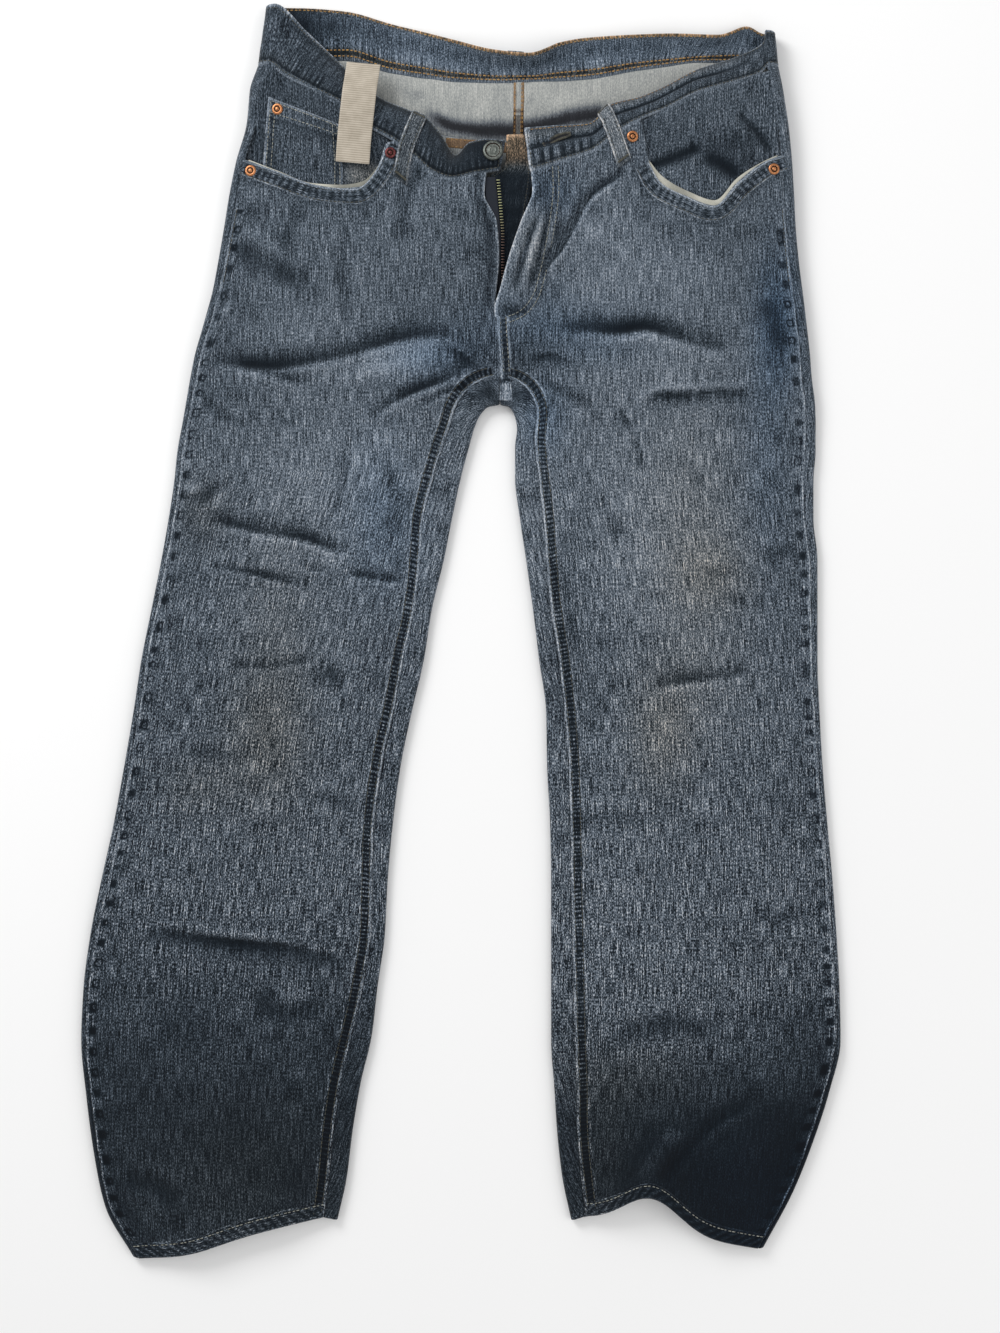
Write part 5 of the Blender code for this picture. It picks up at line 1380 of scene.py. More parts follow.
def sew(name, line, up, pitch=3.4, length=2.7, width=0.62, height=0.5, sunk=0.1, skip=0):
    """Adds a row of stitches along a line of points to a named run of stitches."""
    reach = along(line)
    count = max(2, int(round(reach[-1] / pitch)))
    rng = np.random.default_rng(len(SEWN) * 31 + count)
    at = (np.arange(count) + 0.5) * reach[-1] / count + rng.uniform(-0.12, 0.12, count)
    at = at[rng.random(count) >= skip]
    place, next_place, last_place = (read_line(line, reach, at + step) for step in (0, 0.5, -0.5))
    lift = unit(read_line(np.broadcast_to(up, np.shape(line)), reach, at))
    sizes = np.tile((width, length, height), (len(at), 1)) * rng.uniform(0.9, 1.1, (len(at), 1))
    SEWN.setdefault(name, []).append((place - lift * sunk, next_place - last_place, lift, sizes))


def sew_front(name, side, plan, up=0.3, **how):
    """A row of stitches along a line in plan on a front."""
    x, y = spaced(plan, 2).T
    sew(name, lay(side, x, y, up), lay_normal(side, x, y), **how)


def sew_seat(line):
    sew("stitches_seat", line, DOWN, sunk=0)


def bar_tack(name, centre, ahead, up, length, width=1.6):
    """A bartack: many threads side by side across a short line."""
    ahead, up = unit(ahead), unit(up)
    count = int(length / 0.42)
    steps = (np.arange(count) / max(count - 1, 1) - 0.5) * length
    rows = [np.tile(row, (count, 1)) for row in (np.cross(ahead, up), up, (0.5, width, 0.45))]
    SEWN.setdefault(name, []).append((centre + steps[:, None] * ahead, *rows))


def finish_sewing(threads):
    for name, runs in SEWN.items():
        kind = next(material for start, material in threads if name.startswith(start))
        repeat(name, BEAD, *(np.concatenate(parts) for parts in zip(*runs)), kind)


# ======== fronts
def declare(piece, node):
    """Hides the solid that a sheet of cloth stands for."""
    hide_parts(node)


def grain_middle(side, y):
    """Where the middle thread of a panel lies: straight down the hip, then along the leg."""
    legs = np.array([(row[1], (row[0] + row[2]) / 2) for row in LEG_ROWS[side] if row[1] < 160])
    return np.polyval(np.polyfit(legs[:, 0], legs[:, 1], 2), np.minimum(y, 130))


def front(side, plan):
    x, y = plan[..., 0], plan[..., 1]
    wash_and_shade, brown = shaded(side, x, y)
    opening_gap = near_line(opening_edge(side), x, y)[0]
    fly_gap = near_line([row[:2] for row in FLY_ROWS[side]], x, y)[0]
    wash_and_shade = wash_and_shade - 0.05 * bell(opening_gap, 13.5, 2.2) * (y > 300) + 0.05 * bell(opening_gap, 0, 2.5)
    if side == "left":
        wash_and_shade += 0.26 * bell(fly_gap, 0, 1.5) * (y > 255)
    else:
        # A bright folded edge with painted shadow just inside it.
        wash_and_shade += (0.16 * bell(fly_gap, 0, 1.3) - 0.09 * bell(fly_gap, 6, 3.5)) * (y > 262)
    weave = np.stack((x - grain_middle(side, y), y), axis=-1)
    return shell(f"front_{side}", lay(side, x, y), DENIM, DENIM_FACE, DENIM_BACK, SIGN[side],
                 wash_and_shade=wash_and_shade, stain=brown, back_wash_and_shade=wash_and_shade + 0.12, rim=0.07, weave=weave)


def front_seams(side, plan):
    """The strips that a maker's seams raise on a front, and its stitches."""
    name = f"stitches_front_{side}"
    strips = []

    def strip(label, line, inward, profile, marks):
        strips.append(ridge_strip(label, side, line, inward, profile, marks))

    inseam, from_inseam = edge_line(side, "inseam", to_y=-478)
    strip(f"inseam_fell_{side}", inseam, from_inseam, INSEAM_PROFILE,
          inseam_marks(21 if side == "left" else 27))
    strip(f"side_seam_{side}", *edge_line(side, "side", from_y=345, to_y=-494), SIDE_PROFILE,
          side_seam_marks(41 if side == "left" else 47))
    edge, above = plan[-1], plan[-5]
    hem = spaced(edge, 1.1)
    strip(f"hem_{side}", hem, unit(read_line(above - edge, along(edge), along(hem))), HEM_PROFILE,
          hem_marks)
    opening = opening_edge(side, 12)
    line = spaced(opening, 1.2)
    strip(f"pocket_edge_{side}", line, into_panel(line), OPENING_PROFILE, opening_marks)

    for w in (1.9, 7.8):
        sew_front(name, side, inseam + from_inseam * w, up=0.85, skip=0.04)
    line, inward = edge_line(side, "side", from_y=345, to_y=285)
    sew_front(name, side, line + inward * 1.8, up=0.7)
    sew_front("hem_stitches_" + side, side, edge + unit(above - edge) * 10.3, up=0.95, width=0.75)
    for w in (1.9, 10.9):
        inner = opening + into_panel(opening) * w
        keep = near_line(opening, *inner.T)[0] > w - 0.4
        sew_front(name, side, inner[keep], up=0.85)
    if side == "left":
        outer = soft_line(J_OUTER, 8)
        inner = offset(outer, -4.6)
        sew_front("stitches_fly", side, outer)
        sew_front("stitches_fly", side, inner[inner[:, 0] > 31])
        for w in (2, 6.6):
            sew_front("stitches_fly", side, offset(soft_line(CENTRE_FRONT[:4], 8), w), up=0.8)
        line = spaced(soft_line(CENTRE_FRONT, 8), 1.1)
        strip("centre_front_fell", line, offset(line, 1) - line, CENTRE_PROFILE, centre_marks)
    return strips


# Rows of the J-shaped stitching on the left front, from the waistband to the foot of the fly
J_OUTER = ((79.2, 378), (79.6, 357.5), (77.2, 335), (71.6, 303), (66.4, 281.3), (62.5, 270.5),
           (55.8, 261), (47, 255), (38, 251.5), (31.6, 250.4))
# The felled seam from the foot of the fly to the crotch
CENTRE_FRONT = ((30.2, 256), (31, 240), (32.2, 225), (33, 212), (33, 199), (32.5, 190))


# ======== backs and yokes
# Line of the hollow across the cloth's inside, in the waist opening, along which shade is painted
HOLLOW_LINE = ((-60, 437), (-20, 421), (-6, 415), (14, 412), (39, 412), (62, 415), (90, 423), (122, 427))
INSIDE_Z = SEAT_LIFT + DENIM  # height of the cloth's inside in the waist opening


def inside_wash_and_shade(x, y):
    """The cloth's inside seen in the waist opening: painted shade in the hollow over the front band and on
    the cloth below it, and a small dark spot.
    """
    hollow = np.interp(x, *zip(*HOLLOW_LINE))
    middle = smooth((x + 36) / 24) * smooth((128 - x) / 20)
    depth = bell(y, hollow, 5 + 1.5 * smooth(x / 30))
    below = smooth((hollow - y) / 4)
    wash_and_shade = 0.635 + 0.035 * noise(x, y, 16, 88) + 0.02 * noise(x, y, 5, 89)
    dark_spot = spot(x, y, -38, 441, 7, 4)
    return np.clip(wash_and_shade - (0.5 * depth + 0.12 * below) * middle - 0.1 * dark_spot, 0.04, 1)


def crotch_marks(x, y):
    """Shade under the crotch, the bump where its seams meet and the pale fells beside it."""
    marks = -0.24 * spot(x, y, 35, 200, 40, 13) + 0.24 * spot(x, y, 34, 199, 7, 8, 4)
    for line in (((29, 205), (14, 203), (1, 197)), ((40, 204), (56, 202), (70, 195))):
        marks += 0.22 * bell(near_line(line, x, y)[0], 0, 1.6)
    return marks


def back_look(side, rows, row_size, column_size):
    """A fine sheet with soft troughs underneath, its cells, wash with painted crease shade, and stain."""
    grid, cells = refine(rows, row_size, column_size)[:2]
    x, y, z = np.moveaxis(grid, -1, 0)
    lift, dark = crease_marks("back_" + side, x, y)
    under = z < seat_lift(y) + 0.6
    calm = smooth((edge_gap(x, y) - 4) / 14) * under
    soft = 0.5 + 0.5 * noise(x, y, 55, 83) + 0.25 * noise(x, y, 21, 84)
    rise = np.clip(-lift, 0, None) + 0.7 * np.clip(soft, 0, None)
    wash_and_shade, brown = wash_and_shade_at(side, x, y)
    seat = spot(x, y, POCKET_MIDDLE_X[side], 270, 80, 90)
    wash_and_shade += crotch_marks(x, y) - 0.02 * under
    wash_and_shade += (0.04 * seat - 0.03 * bell(y, -60, 70)) * under - 0.06 * dark * under
    grid[..., 2] += rise * calm
    return grid, cells, wash_and_shade, brown


def back(side):
    grid, cells, wash_and_shade, brown = back_look(side, back_rows(side), 4, 7.5)
    run = run_of(grid)
    # Painted shadow along the seam at each end of a row.
    wash_and_shade = wash_and_shade - 0.07 * (bell(run, 0, 1.4) + bell(run[:, -1:], run, 1.6))
    hem = along(grid[:, 8])
    hem = (hem[-1] - hem)[:, None]
    hem_line = bell(hem, 12, 1.5)
    wash_and_shade = wash_and_shade - 0.04 * hem_line + 0.02 * (hem < 12)
    grid[..., 2] += 0.3 * hem_line * (grid[..., 2] < 1)
    return shell(f"back_{side}", grid, DENIM, DENIM_FACE, DENIM_BACK, -SIGN[side], cells,
                 wash_and_shade=wash_and_shade, stain=brown, back_wash_and_shade=inside_wash_and_shade(grid[..., 0], grid[..., 1]), rim=0.06)


def yoke(side):
    grid, cells, wash_and_shade, brown = back_look(side, yoke_rows(side), 2, 3)
    return shell(f"yoke_piece_{side}", grid, DENIM, DENIM_FACE, DENIM_BACK, -SIGN[side], cells,
                 wash_and_shade=wash_and_shade, stain=brown, back_wash_and_shade=inside_wash_and_shade(grid[..., 0], grid[..., 1]), rim=0.05)


def seat_stitches():
    """Double rows under the yoke seams and down the centre back."""
    for side in SIGN:
        flat = np.array([p for p in yoke_rows(side)[-1] if p[2] < SEAT_LIFT + 0.01])
        for w in (2, 6.5):
            sew_seat(flat - (0, w, 0.05))
    centre = lifted([(47.5, 449)] + [row[:2] for row in CENTRE_BACK], SEAT_LIFT - 0.05)
    for w in (2.2, 6.6):
        sew_seat(centre - (w, 0, 0))


def inside_fell():
    """The felled centre-back seam as it shows inside, with its orange thread."""
    line = spaced(((47.5, 451), (47.3, 430), (46.8, 408), (46.4, 392)), 1.2)
    steps = np.linspace(-4.6, 4.6, 10)
    x = line[:, None, 0] + steps
    y = line[:, None, 1] + 0 * x
    z = INSIDE_Z + 0.75 * smooth(4.6 - abs(steps)) + 0.12 * noise(x, y, 4, 95)
    sides = smooth((abs(steps) - 1.6) / 1.4) + 0 * x
    # Over the hollow the fell is darker and browner, painted shade.
    low = np.maximum(bell(y, 427, 2), smooth((425 - y) / 2))
    wash_and_shade = 0.6 - 0.2 * sides - 0.24 * low + 0.05 * noise(x, y, 5, 96)
    for w in (-3.2, 2.2, 3.4):
        sew("gold_stitches_inside", lifted(line + (w, 0), INSIDE_Z + 0.8), UP)
    return shell("centre_back_fell", np.stack((x, y, z), axis=-1), 0.8, DENIM_BACK, outside=-1,
                 plumb=True, wash_and_shade=wash_and_shade, stain=1.7 * sides + 0.9 * low, rim=0.04)


def yoke_fell(side):
    """The yoke seam inside, low in the waist opening."""
    ends = {"right": ((46, 396.5), (-12, 401.5)), "left": ((47.5, 396.5), (95, 401))}[side]
    line = spaced(ends, 1.2)
    grid = np.array([lifted(line + (0, w), INSIDE_Z + 0.7 * smooth(4.5 - abs(w)))
                     for w in np.linspace(-4.5, 4.5, 9)])
    for w in (-3, 3):
        sew("gold_stitches_inside", lifted(line + (0, w), INSIDE_Z + 0.75), UP)
    return shell(f"yoke_fell_{side}", grid, 0.8, DENIM_BACK, outside=-SIGN[side], plumb=True,
                 wash_and_shade=0.36, stain=1.8, rim=0.04)


def back_pocket(side):
    """A patch pocket sewn under the seat, with a turned mouth and double rows round it."""
    middle = POCKET_MIDDLE_X[side]
    down = POCKET_LENGTH * np.linspace(0, 1, 60)[:, None]
    half = np.interp(down, (0, POCKET_SHOULDER, POCKET_LENGTH), (POCKET_HALF_TOP, POCKET_HALF_LOW, 1.5))
    x = middle + np.linspace(-1, 1, 50) * half
    y = POCKET_TOP_Y - down + 0 * x
    mouth = POCKET_TOP_Y - y
    edge = np.minimum(POCKET_HALF_TOP - abs(x - middle), mouth)
    z = 0.25 * (1 + noise(x, y, 24, 33)) * smooth(edge / 12) + 0.35 * bell(mouth, 16, 1.2)
    outline = np.array(((-POCKET_HALF_TOP, 0), (-POCKET_HALF_LOW, -POCKET_SHOULDER),
                        (0, -POCKET_LENGTH), (POCKET_HALF_LOW, -POCKET_SHOULDER),
                        (POCKET_HALF_TOP, 0)))
    corner = (middle, POCKET_TOP_Y)
    wash_and_shade = 0.4 + 0.02 * noise(x, y, 18, 34) - 0.05 * bell(mouth, 16, 2)
    wash_and_shade += 0.07 * bell(near_line(outline + corner, x, y)[0], 0, 1.8)
    piece = shell(f"seat_pocket_{side}", np.stack((x, y, z), axis=-1), DENIM, DENIM_FACE, DENIM_BACK,
                  wash_and_shade=wash_and_shade, stain=0.05, back_wash_and_shade=0.4, rim=0.06)
    for w in (2, 6.5):
        shrunk = outline * (1 - w / POCKET_HALF_TOP) - (0, w * 0.2)
        sew_seat(lifted(spaced(shrunk + corner, 3), -0.02))
    for w in (2, 14):
        sew_seat([(middle - 70, POCKET_TOP_Y - w, 0), (middle + 70, POCKET_TOP_Y - w, 0)])
    for k in (-69, 69):
        bar_tack("stitches_seat", (middle + k, POCKET_TOP_Y - 6, -0.02), (0, 1, 0), DOWN, 9)
    return piece


# ======== waistband and its loops
BAND, _, BAND_SECTION, BAND_COLUMN = refine(band_sections(), 2, 1.7)
BAND_WIDTH = np.interp(BAND_COLUMN, range(len(BAND_WIDTHS)), BAND_WIDTHS)
HOLE_START = 34  # first section of the buttonhole end
LOOP_SHARES = np.linspace(0, 0.98, 26)


def band_relief():
    """Puckers, rolls and worn ridges of the band, and how washed its two faces are."""
    section = BAND_SECTION[:, None]
    at = BAND_WIDTH[None] * BAND_DEPTH
    s = along(BAND[:, BAND.shape[1] // 2])[:, None] + 0 * at
    hole = smooth(section - HOLE_START + 0.3)
    button = smooth(10.6 - section)
    behind = smooth(section - 14.5) * smooth(30.5 - section)
    patchy = noise(s, at, 21, 102)
    pucker = np.sin(s / 4.6 * TAU + 2 * noise(s, at * 0, 15, 101)) * (0.7 + 0.3 * patchy)
    near = bell(at, 8.5, 5.5)
    top = BAND_DEPTH - at
    lift = 0.45 * pucker * near + 0.22 * noise(s, at, 17, 103) + 0.1 * noise(s, at, 6, 104)
    wash_and_shade = 0.26 + 0.17 * pucker * near * (button + 0.5 * hole) + 0.025 * noise(s, at, 9, 105)
    wash_and_shade += 0.24 * bell(at, 0.9, 1) - 0.13 * bell(at, 3.6, 1.5)
    wash_and_shade += (0.14 + 0.16 * button) * bell(top, 0.6, 0.9) - 0.05 * bell(top, 5, 3)
    wash_and_shade = wash_and_shade - 0.05 * button - 0.08 * button * smooth((5 - section) / 2.5)

    # The buttonhole end: its upper half rolls over a groove, its lower half bunches in short steps; the
    # groove takes painted shade and the roll's crown a painted highlight
    roll = hole * smooth((section - 34.6) / 1.2)
    groove = roll * bell(at - 19 - 1.5 * noise(s, at * 0, 18, 106), 0, 1.9)
    crown = roll * bell(at, 28, 5)
    blocks = np.sin(s / 8.2 * TAU + 0.8 * noise(s, at * 0, 15, 108))
    step = smooth((section - 39.6) / 0.6) * bell(at, 9, 6)
    lift = lift - 1.5 * groove + 1 * crown + 0.45 * step * blocks
    wash_and_shade = wash_and_shade - 0.22 * groove + 0.07 * crown
    wash_and_shade += step * (0.16 * blocks - 0.01) + 0.18 * smooth((section - 42.6) / 0.3)

    # Its inside, seen over the back: pale puckers above the seam, thin streaks, and painted shade across it
    # at both ends by the folds
    streak = smooth(3 * (noise(s, at / 26, 3.2, 109) - 0.62))
    inside = 0.365 + 0.03 * noise(s, at, 12, 107) + 0.1 * streak * smooth(at / 6)
    inside += bell(at, 9.5, 4.5) * (0.03 + 0.19 * pucker)
    for lighter, *where in ((-0.05, at, 23, 6), (-0.2, at, 4.4, 1.9), (0.1, at, 0.4, 0.7),
                            (-0.24, section, 15.4, 1.5), (-0.12, section, 29.4, 1.2)):
        inside += lighter * bell(*where)
    inside = np.where(behind > 0.01, inside, 0.31 + 0.03 * pucker * near)
    seam = bell(at, 4, 2.6)
    brown = behind * (2.2 * bell(top, 0, 1.8) - 0.25 + 1.2 * seam) + 0.3 * seam
    return lift, wash_and_shade, inside, brown + 0.4 * crown


BAND_LIFT, *BAND_LOOK = band_relief()
BAND = BAND + normals_of(BAND) * BAND_LIFT[..., None]
BAND_UP = normals_of(BAND)


def waistband():
    wash_and_shade, inside, brown = BAND_LOOK
    s = along(BAND[:, 3])[:, None] + 0 * BAND_WIDTH[None]
    weave = np.stack((s, BAND_WIDTH[None] * BAND_DEPTH + 0 * s), axis=-1)
    return shell("waistband_cloth", BAND, BAND_WALL, DENIM_FACE, DENIM_FACE,
                 wash_and_shade=wash_and_shade, stain=brown, back_wash_and_shade=inside, rim=0.12, weave=weave)


def band_at(sections, widths, out=0):
    """Points over the band and their normals; out is negative to reach its inside."""
    sections, widths = np.broadcast_arrays(np.asarray(sections, float), widths)
    i = np.interp(sections, BAND_SECTION, range(len(BAND_SECTION)))
    j = np.interp(widths, BAND_WIDTH, range(len(BAND_WIDTH)))
    i0, j0 = (np.clip(v.astype(int), 0, size - 2) for v, size in zip((i, j), BAND.shape))
    place, up = (blend(grid, i0, j0, (i - i0)[..., None], (j - j0)[..., None]) for grid in (BAND, BAND_UP))
    up = unit(up)
    return place + up * out, up


def band_stitches():
    last = BAND_SECTION[-1]
    inside = -BAND_WALL - 0.1
    # name, from and to section, how many points, share of the width, height, stitch sizes
    rows = (
        ("stitches_waistband", 0.12, last - 0.12, 500, 0.055, 0.1, {}),
        ("stitches_waistband", 0.12, last - 0.12, 500, 0.945, 0.1, {}),
        ("gold_stitches_band", 14, 30.6, 300, 0.06, inside, {"width": 1.05, "height": 0.75}),
        ("gold_stitches_band", 14, 30.6, 300, 0.155, inside, {"width": 1.05, "height": 0.75}),
        ("gold_stitches_band", 12, 32, 300, 0.97, -BAND_WALL - 0.05, {"width": 0.8}),
        ("gold_stitches_band", 36, last - 0.3, 120, 0.93, 0.1, {"width": 0.8}),
    )
    for name, start, end, count, share, out, how in rows:
        line, up = band_at(np.linspace(start, end, count), share, out)
        sew(name, line, up * np.sign(out), **how)
    for section in (0.1, last - 0.1):
        line, up = band_at(section, np.linspace(0.06, 0.94, 30), 0.1)
        sew("stitches_waistband", line, up)


def loop_sheet(section, slant, width, out):
    low, _ = band_at(np.array((section - 0.2, section + 0.2)), 0.5)
    spacing = np.linalg.norm(low[1] - low[0]) / 0.4
    across = np.linspace(-1, 1, 9)
    middle = section + slant * (LOOP_SHARES - 0.5)
    points, up = band_at(middle[:, None] + across * width / 2 / spacing, LOOP_SHARES[:, None])
    return points + up * (out + 0.25 * (1 - across ** 2))[None, :, None]


def loop_wash(grid, seed):
    s = along(grid[:, 4])[:, None] + 0 * grid[..., 0]
    a = np.linspace(-1, 1, grid.shape[1])[None] + 0 * s
    row = bell(abs(a), 0.66, 0.1)
    wave = np.sin(s / 3.4 * TAU + seed) * row
    wash_and_shade = 0.36 + 0.2 * bell(abs(a), 0.92, 0.1) - 0.13 * row + 0.13 * wave
    return wash_and_shade + 0.03 * noise(s, a * 8, 5, seed) - 0.16 * bell(s, 0, 5)


def sew_loop(name, grid, up):
    for k in (1, -2):
        sew(name, grid[1:-1, k] + up * 0.1, up, pitch=3, length=2.4)
    for i in (2, -3):
        ahead = grid[i, -1] - grid[i, 0]
        bar_tack(name, grid[i, 4] + up * 0.25, ahead, up, np.linalg.norm(ahead) * 0.85, 1.8)


def front_loop(name, section, slant, width, tail_x, tail_y):
    """A loop over the band, its tail tacked to the front below."""
    side = name.rsplit("_", 1)[1]
    grid = loop_sheet(section, slant, width, LAY_GAP + LOOP_WALL + CURVE_CLEAR)
    tail = []
    for share in np.linspace(1, 0.06, 16):
        x = grid[0, :, 0] + tail_x * share
        y = grid[0, :, 1] + tail_y * share
        over = lay(side, x, y, LAY_GAP + LOOP_WALL + 0.2 + 0.5 * math.sin(math.pi * share))
        low = smooth(share * 5)
        tail.append(over * low + (grid[0] * (1 - share) + over * share) * (1 - low))
    grid = np.concatenate((tail, grid))
    wash_and_shade = loop_wash(grid, 3) + (0.07 if side == "left" else -0.05)
    sew_loop("stitches_loops", grid, UP)
    return shell(name + "_cloth", grid, LOOP_WALL, DENIM_FACE, plumb=True, wash_and_shade=wash_and_shade,
                 rim=0.12, stain=0.45)


def back_loop(name, section, slant, width):
    grid = loop_sheet(section, slant, width, GAP)
    foot = [grid[0] - (0, LOOP_FOOT * k / 6, 0) for k in range(6, 0, -1)]
    grid = np.concatenate((foot, grid))
    grid[..., 2] = np.maximum(grid[..., 2], 0.05)
    sew_loop("stitches_seat", grid, DOWN)
    return shell(name + "_cloth", grid, LOOP_WALL * 0.9, DENIM_FACE, wash_and_shade=loop_wash(grid, 5), rim=0.06,
                 stain=0.05)


def buttonhole():
    """A keyhole slit in the band's end, its edge worked over with thread."""
    line, up = band_at(np.linspace(41.93, 40.62, 60), np.linspace(0.47, 0.63, 60), 0.16)
    aside = np.cross(up, unit(np.gradient(line, axis=0)))
    reach = along(line) / along(line)[-1]
    half = 0.9 * np.minimum(1, 6 * np.minimum(reach, 1 - reach)) + 0.15 + 0.9 * bell(reach, 0.09, 0.07)
    grid = line[:, None] + aside[:, None] * (half[:, None] * np.linspace(-1, 1, 7))[..., None]
    slit = shell("buttonhole_slit", grid - up[:, None] * 0.05, 0.5, SHADOW, outside=-1, wash_and_shade=0)
    for way in (-1, 1):
        rail = line + aside * (way * (half + 0.75))[:, None] + up * 0.1
        places = spaced(rail, 0.55)
        ups, outs = (read_line(v, along(rail), along(places)) for v in (up, aside))
        sizes = np.tile((0.5, 2, 0.5), (len(places), 1))
        SEWN.setdefault("stitches_buttonhole", []).append((places, outs, ups, sizes))


# ======== pockets
FACING_WASH = {"right": (0.225, 0.28), "left": (0.3, 0.3)}
# Creases of the facings: from x, y to x, y, width, depth
FACING_CREASES = {
    "right": ((-137, 376, -100, 390, 3, 0.7),),
    "left": ((154, 379, 190, 393, 4.5, 1.7), (228, 420, 251, 395, 3, 1.3),
             (203, 385, 222, 374, 6, 1.5), (176, 405, 196, 412, 4, 0.4)),
}


def facing_piece(side):
    grid, cells = refine(facing_grid(side), 2.6, 2.6)[:2]
    x, y = grid[..., 0], grid[..., 1]
    creases = 0
    for px, py, qx, qy, width, depth in FACING_CREASES[side]:
        line = soft_line(((px, py), ((px + qx) / 2 + 2, (py + qy) / 2), (qx, qy)))
        creases = creases + depth * bell(near_line(line, x, y)[0], 0, width)
    calm = smooth((y - FACING_LOW_Y[side]) / 12)
    grid[..., 2] += (-creases + 0.35 * noise(x, y, 19, 111) + 0.1 * noise(x, y, 7, 112)) * calm
    low, high = FACING_WASH[side]
    wash_and_shade = low + (high - low) * smooth((x - x.min()) / (x.max() - x.min()))
    # Painted shade in the creases.
    wash_and_shade += 0.025 * noise(x, y, 22, 113) - 0.13 * creases
    soiled = spot(x, y, -80, 372, 15, 12, 4)
    wash_and_shade += soiled * (0.05 + 0.08 * noise(x, y, 6, 114))
    # Painted shadow under the left facing's fold.
    if side == "left":
        wash_and_shade = wash_and_shade - 0.06 * spot(x, y, 226, 391, 24, 19, 4)
    wash_and_shade += 0.04 * bell(near_line(FACING_TOP[side], x, y)[0], 1.5, 1.5)
    return shell(f"facing_{side}", grid, DENIM, DENIM_FACE, DENIM_BACK, SIGN[side], cells,
                 plumb=True, wash_and_shade=wash_and_shade, stain=soiled, back_wash_and_shade=0.5, rim=0.04)


def coin_pocket_piece():
    """The coin pocket on the right facing, with a turned mouth and stitched sides."""
    left, right = (spaced(line, along(line)[-1] / 40)
                   for line in (soft_line(COIN_LEFT, 12), soft_line(COIN_RIGHT, 12)))
    plan = left[:, None] + (right - left)[:, None] * np.linspace(0, 1, 32)[:, None]
    lift = LAY_GAP + CURVE_CLEAR + COIN_WALL
    grid = np.array([[facing_point("right", x, y, lift) for x, y in row] for row in plan])
    x, y = grid[..., 0], grid[..., 1]
    mouth = along(left)[:, None] + 0 * x
    count = np.arange(grid.shape[1])
    side_gap = np.minimum(count, count[::-1]) * 2 + 0 * x
    rung = np.sin(x / 5.2 * TAU + 1.8 * noise(x, y, 13, 123)) * smooth(mouth / 3)
    hem = rung * smooth((14 - mouth) / 3)
    wash_and_shade = 0.265 + 0.02 * noise(x, y, 12, 122) + 0.15 * bell(mouth, 0, 1.1) + 0.055 * hem
    wash_and_shade += 0.15 * bell(side_gap, 0, 1.3) - 0.09 * bell(side_gap, 5, 1.6)
    wash_and_shade = wash_and_shade - 0.1 * bell(mouth, 16.5, 1.4) + 0.1 * bell(mouth, 14.6, 0.8)
    grid[..., 2] += 0.25 * noise(x, y, 15, 121) + 0.5 * smooth(mouth / 1.5) * smooth(15.5 - mouth)
    grid[..., 2] += 0.18 * hem - 0.3 * bell(mouth, 16.2, 1)
    rows = [grid[max(int(w / (along(left)[-1] / 40)), 1), 1:-1] for w in (1.6, 13)]
    for row in rows + [grid[1:, j] for j in (1, 3, -2, -4)]:
        sew("stitches_coin_pocket", row + (0, 0, 0.15), UP)
    return shell("coin_pocket_cloth", grid, COIN_WALL, DENIM_FACE, plumb=True, wash_and_shade=wash_and_shade,
                 rim=0.07)


def bag_piece(side):
    grid, cells = refine(bag_rows(side), 2.6, 3)[:2]
    x, y, z = np.moveaxis(grid, -1, 0)
    # The left bag is darker about x = 178; the right one takes painted shade inside its pocket.
    wash_and_shade = 0.8 - 0.35 * bell(x, 178, 10)
    if side == "right":
        wash_and_shade = 0.95 - 0.6 * smooth((x + 112) / 14)
    grid[..., 2] += 0.22 * noise(x, y, 9, 131) * smooth((z - np.median(z)) / 2)
    return shell(f"bag_{side}", grid, BAG_WALL, COTTON, outside=SIGN[side], cells=cells, wash_and_shade=wash_and_shade)


# ======== fly and zip
def fly_facing_piece():
    grid, cells = refine(fly_facing_rows(), 2.4, 2.4)[:2]
    wash_and_shade = 0.24 + 0.02 * noise(grid[..., 0], grid[..., 1], 12, 141)
    return shell("fly_facing_cloth", grid, 0.8, DENIM_FACE, DENIM_BACK, SIGN["left"], cells,
                 plumb=True, wash_and_shade=wash_and_shade, back_wash_and_shade=0.4, rim=0.03)


def shield_piece():
    """The dark doubled strip behind the zip, with its curved top; its darkness is painted shade."""
    grid, cells = refine(shield_rows(), 1.8, 1.6)[:2]
    x, y = grid[..., 0], grid[..., 1]
    s = smooth((y - 368) / 20)
    grid[..., 2] += 0.3 * noise(x, y, 8, 151) * (1 - s)
    column = np.arange(grid.shape[1])
    edge = np.minimum(column, column[::-1]) * 1.6
    wash_and_shade = 0.105 + 0.03 * noise(x, y, 7, 152) + 0.2 * s + 0.05 * bell(edge, 1, 1.2)
    wash_and_shade += 0.2 * bell(np.arange(len(grid))[:, None], 0, 1.6)
    for j in (1, -2):
        sew("stitches_shield", grid[2:-1, j] + (0, 0, 0.1), UP, pitch=2.6, length=2)
    return shell("shield_cloth", grid, SHIELD_WALL, DENIM_FACE, outside=-1, cells=cells,
                 plumb=True, wash_and_shade=wash_and_shade, rim=0.06, stain=1.8 * s)


def tape_piece(side):
    grid, cells = refine(zip_rows(side)[0], 1.6, 1.5)[:2]
    return shell(f"tape_{side}", grid, TAPE_WALL, ZIP_TAPE, outside=SIGN[side], cells=cells,
                 plumb=True, wash_and_shade=0.1)


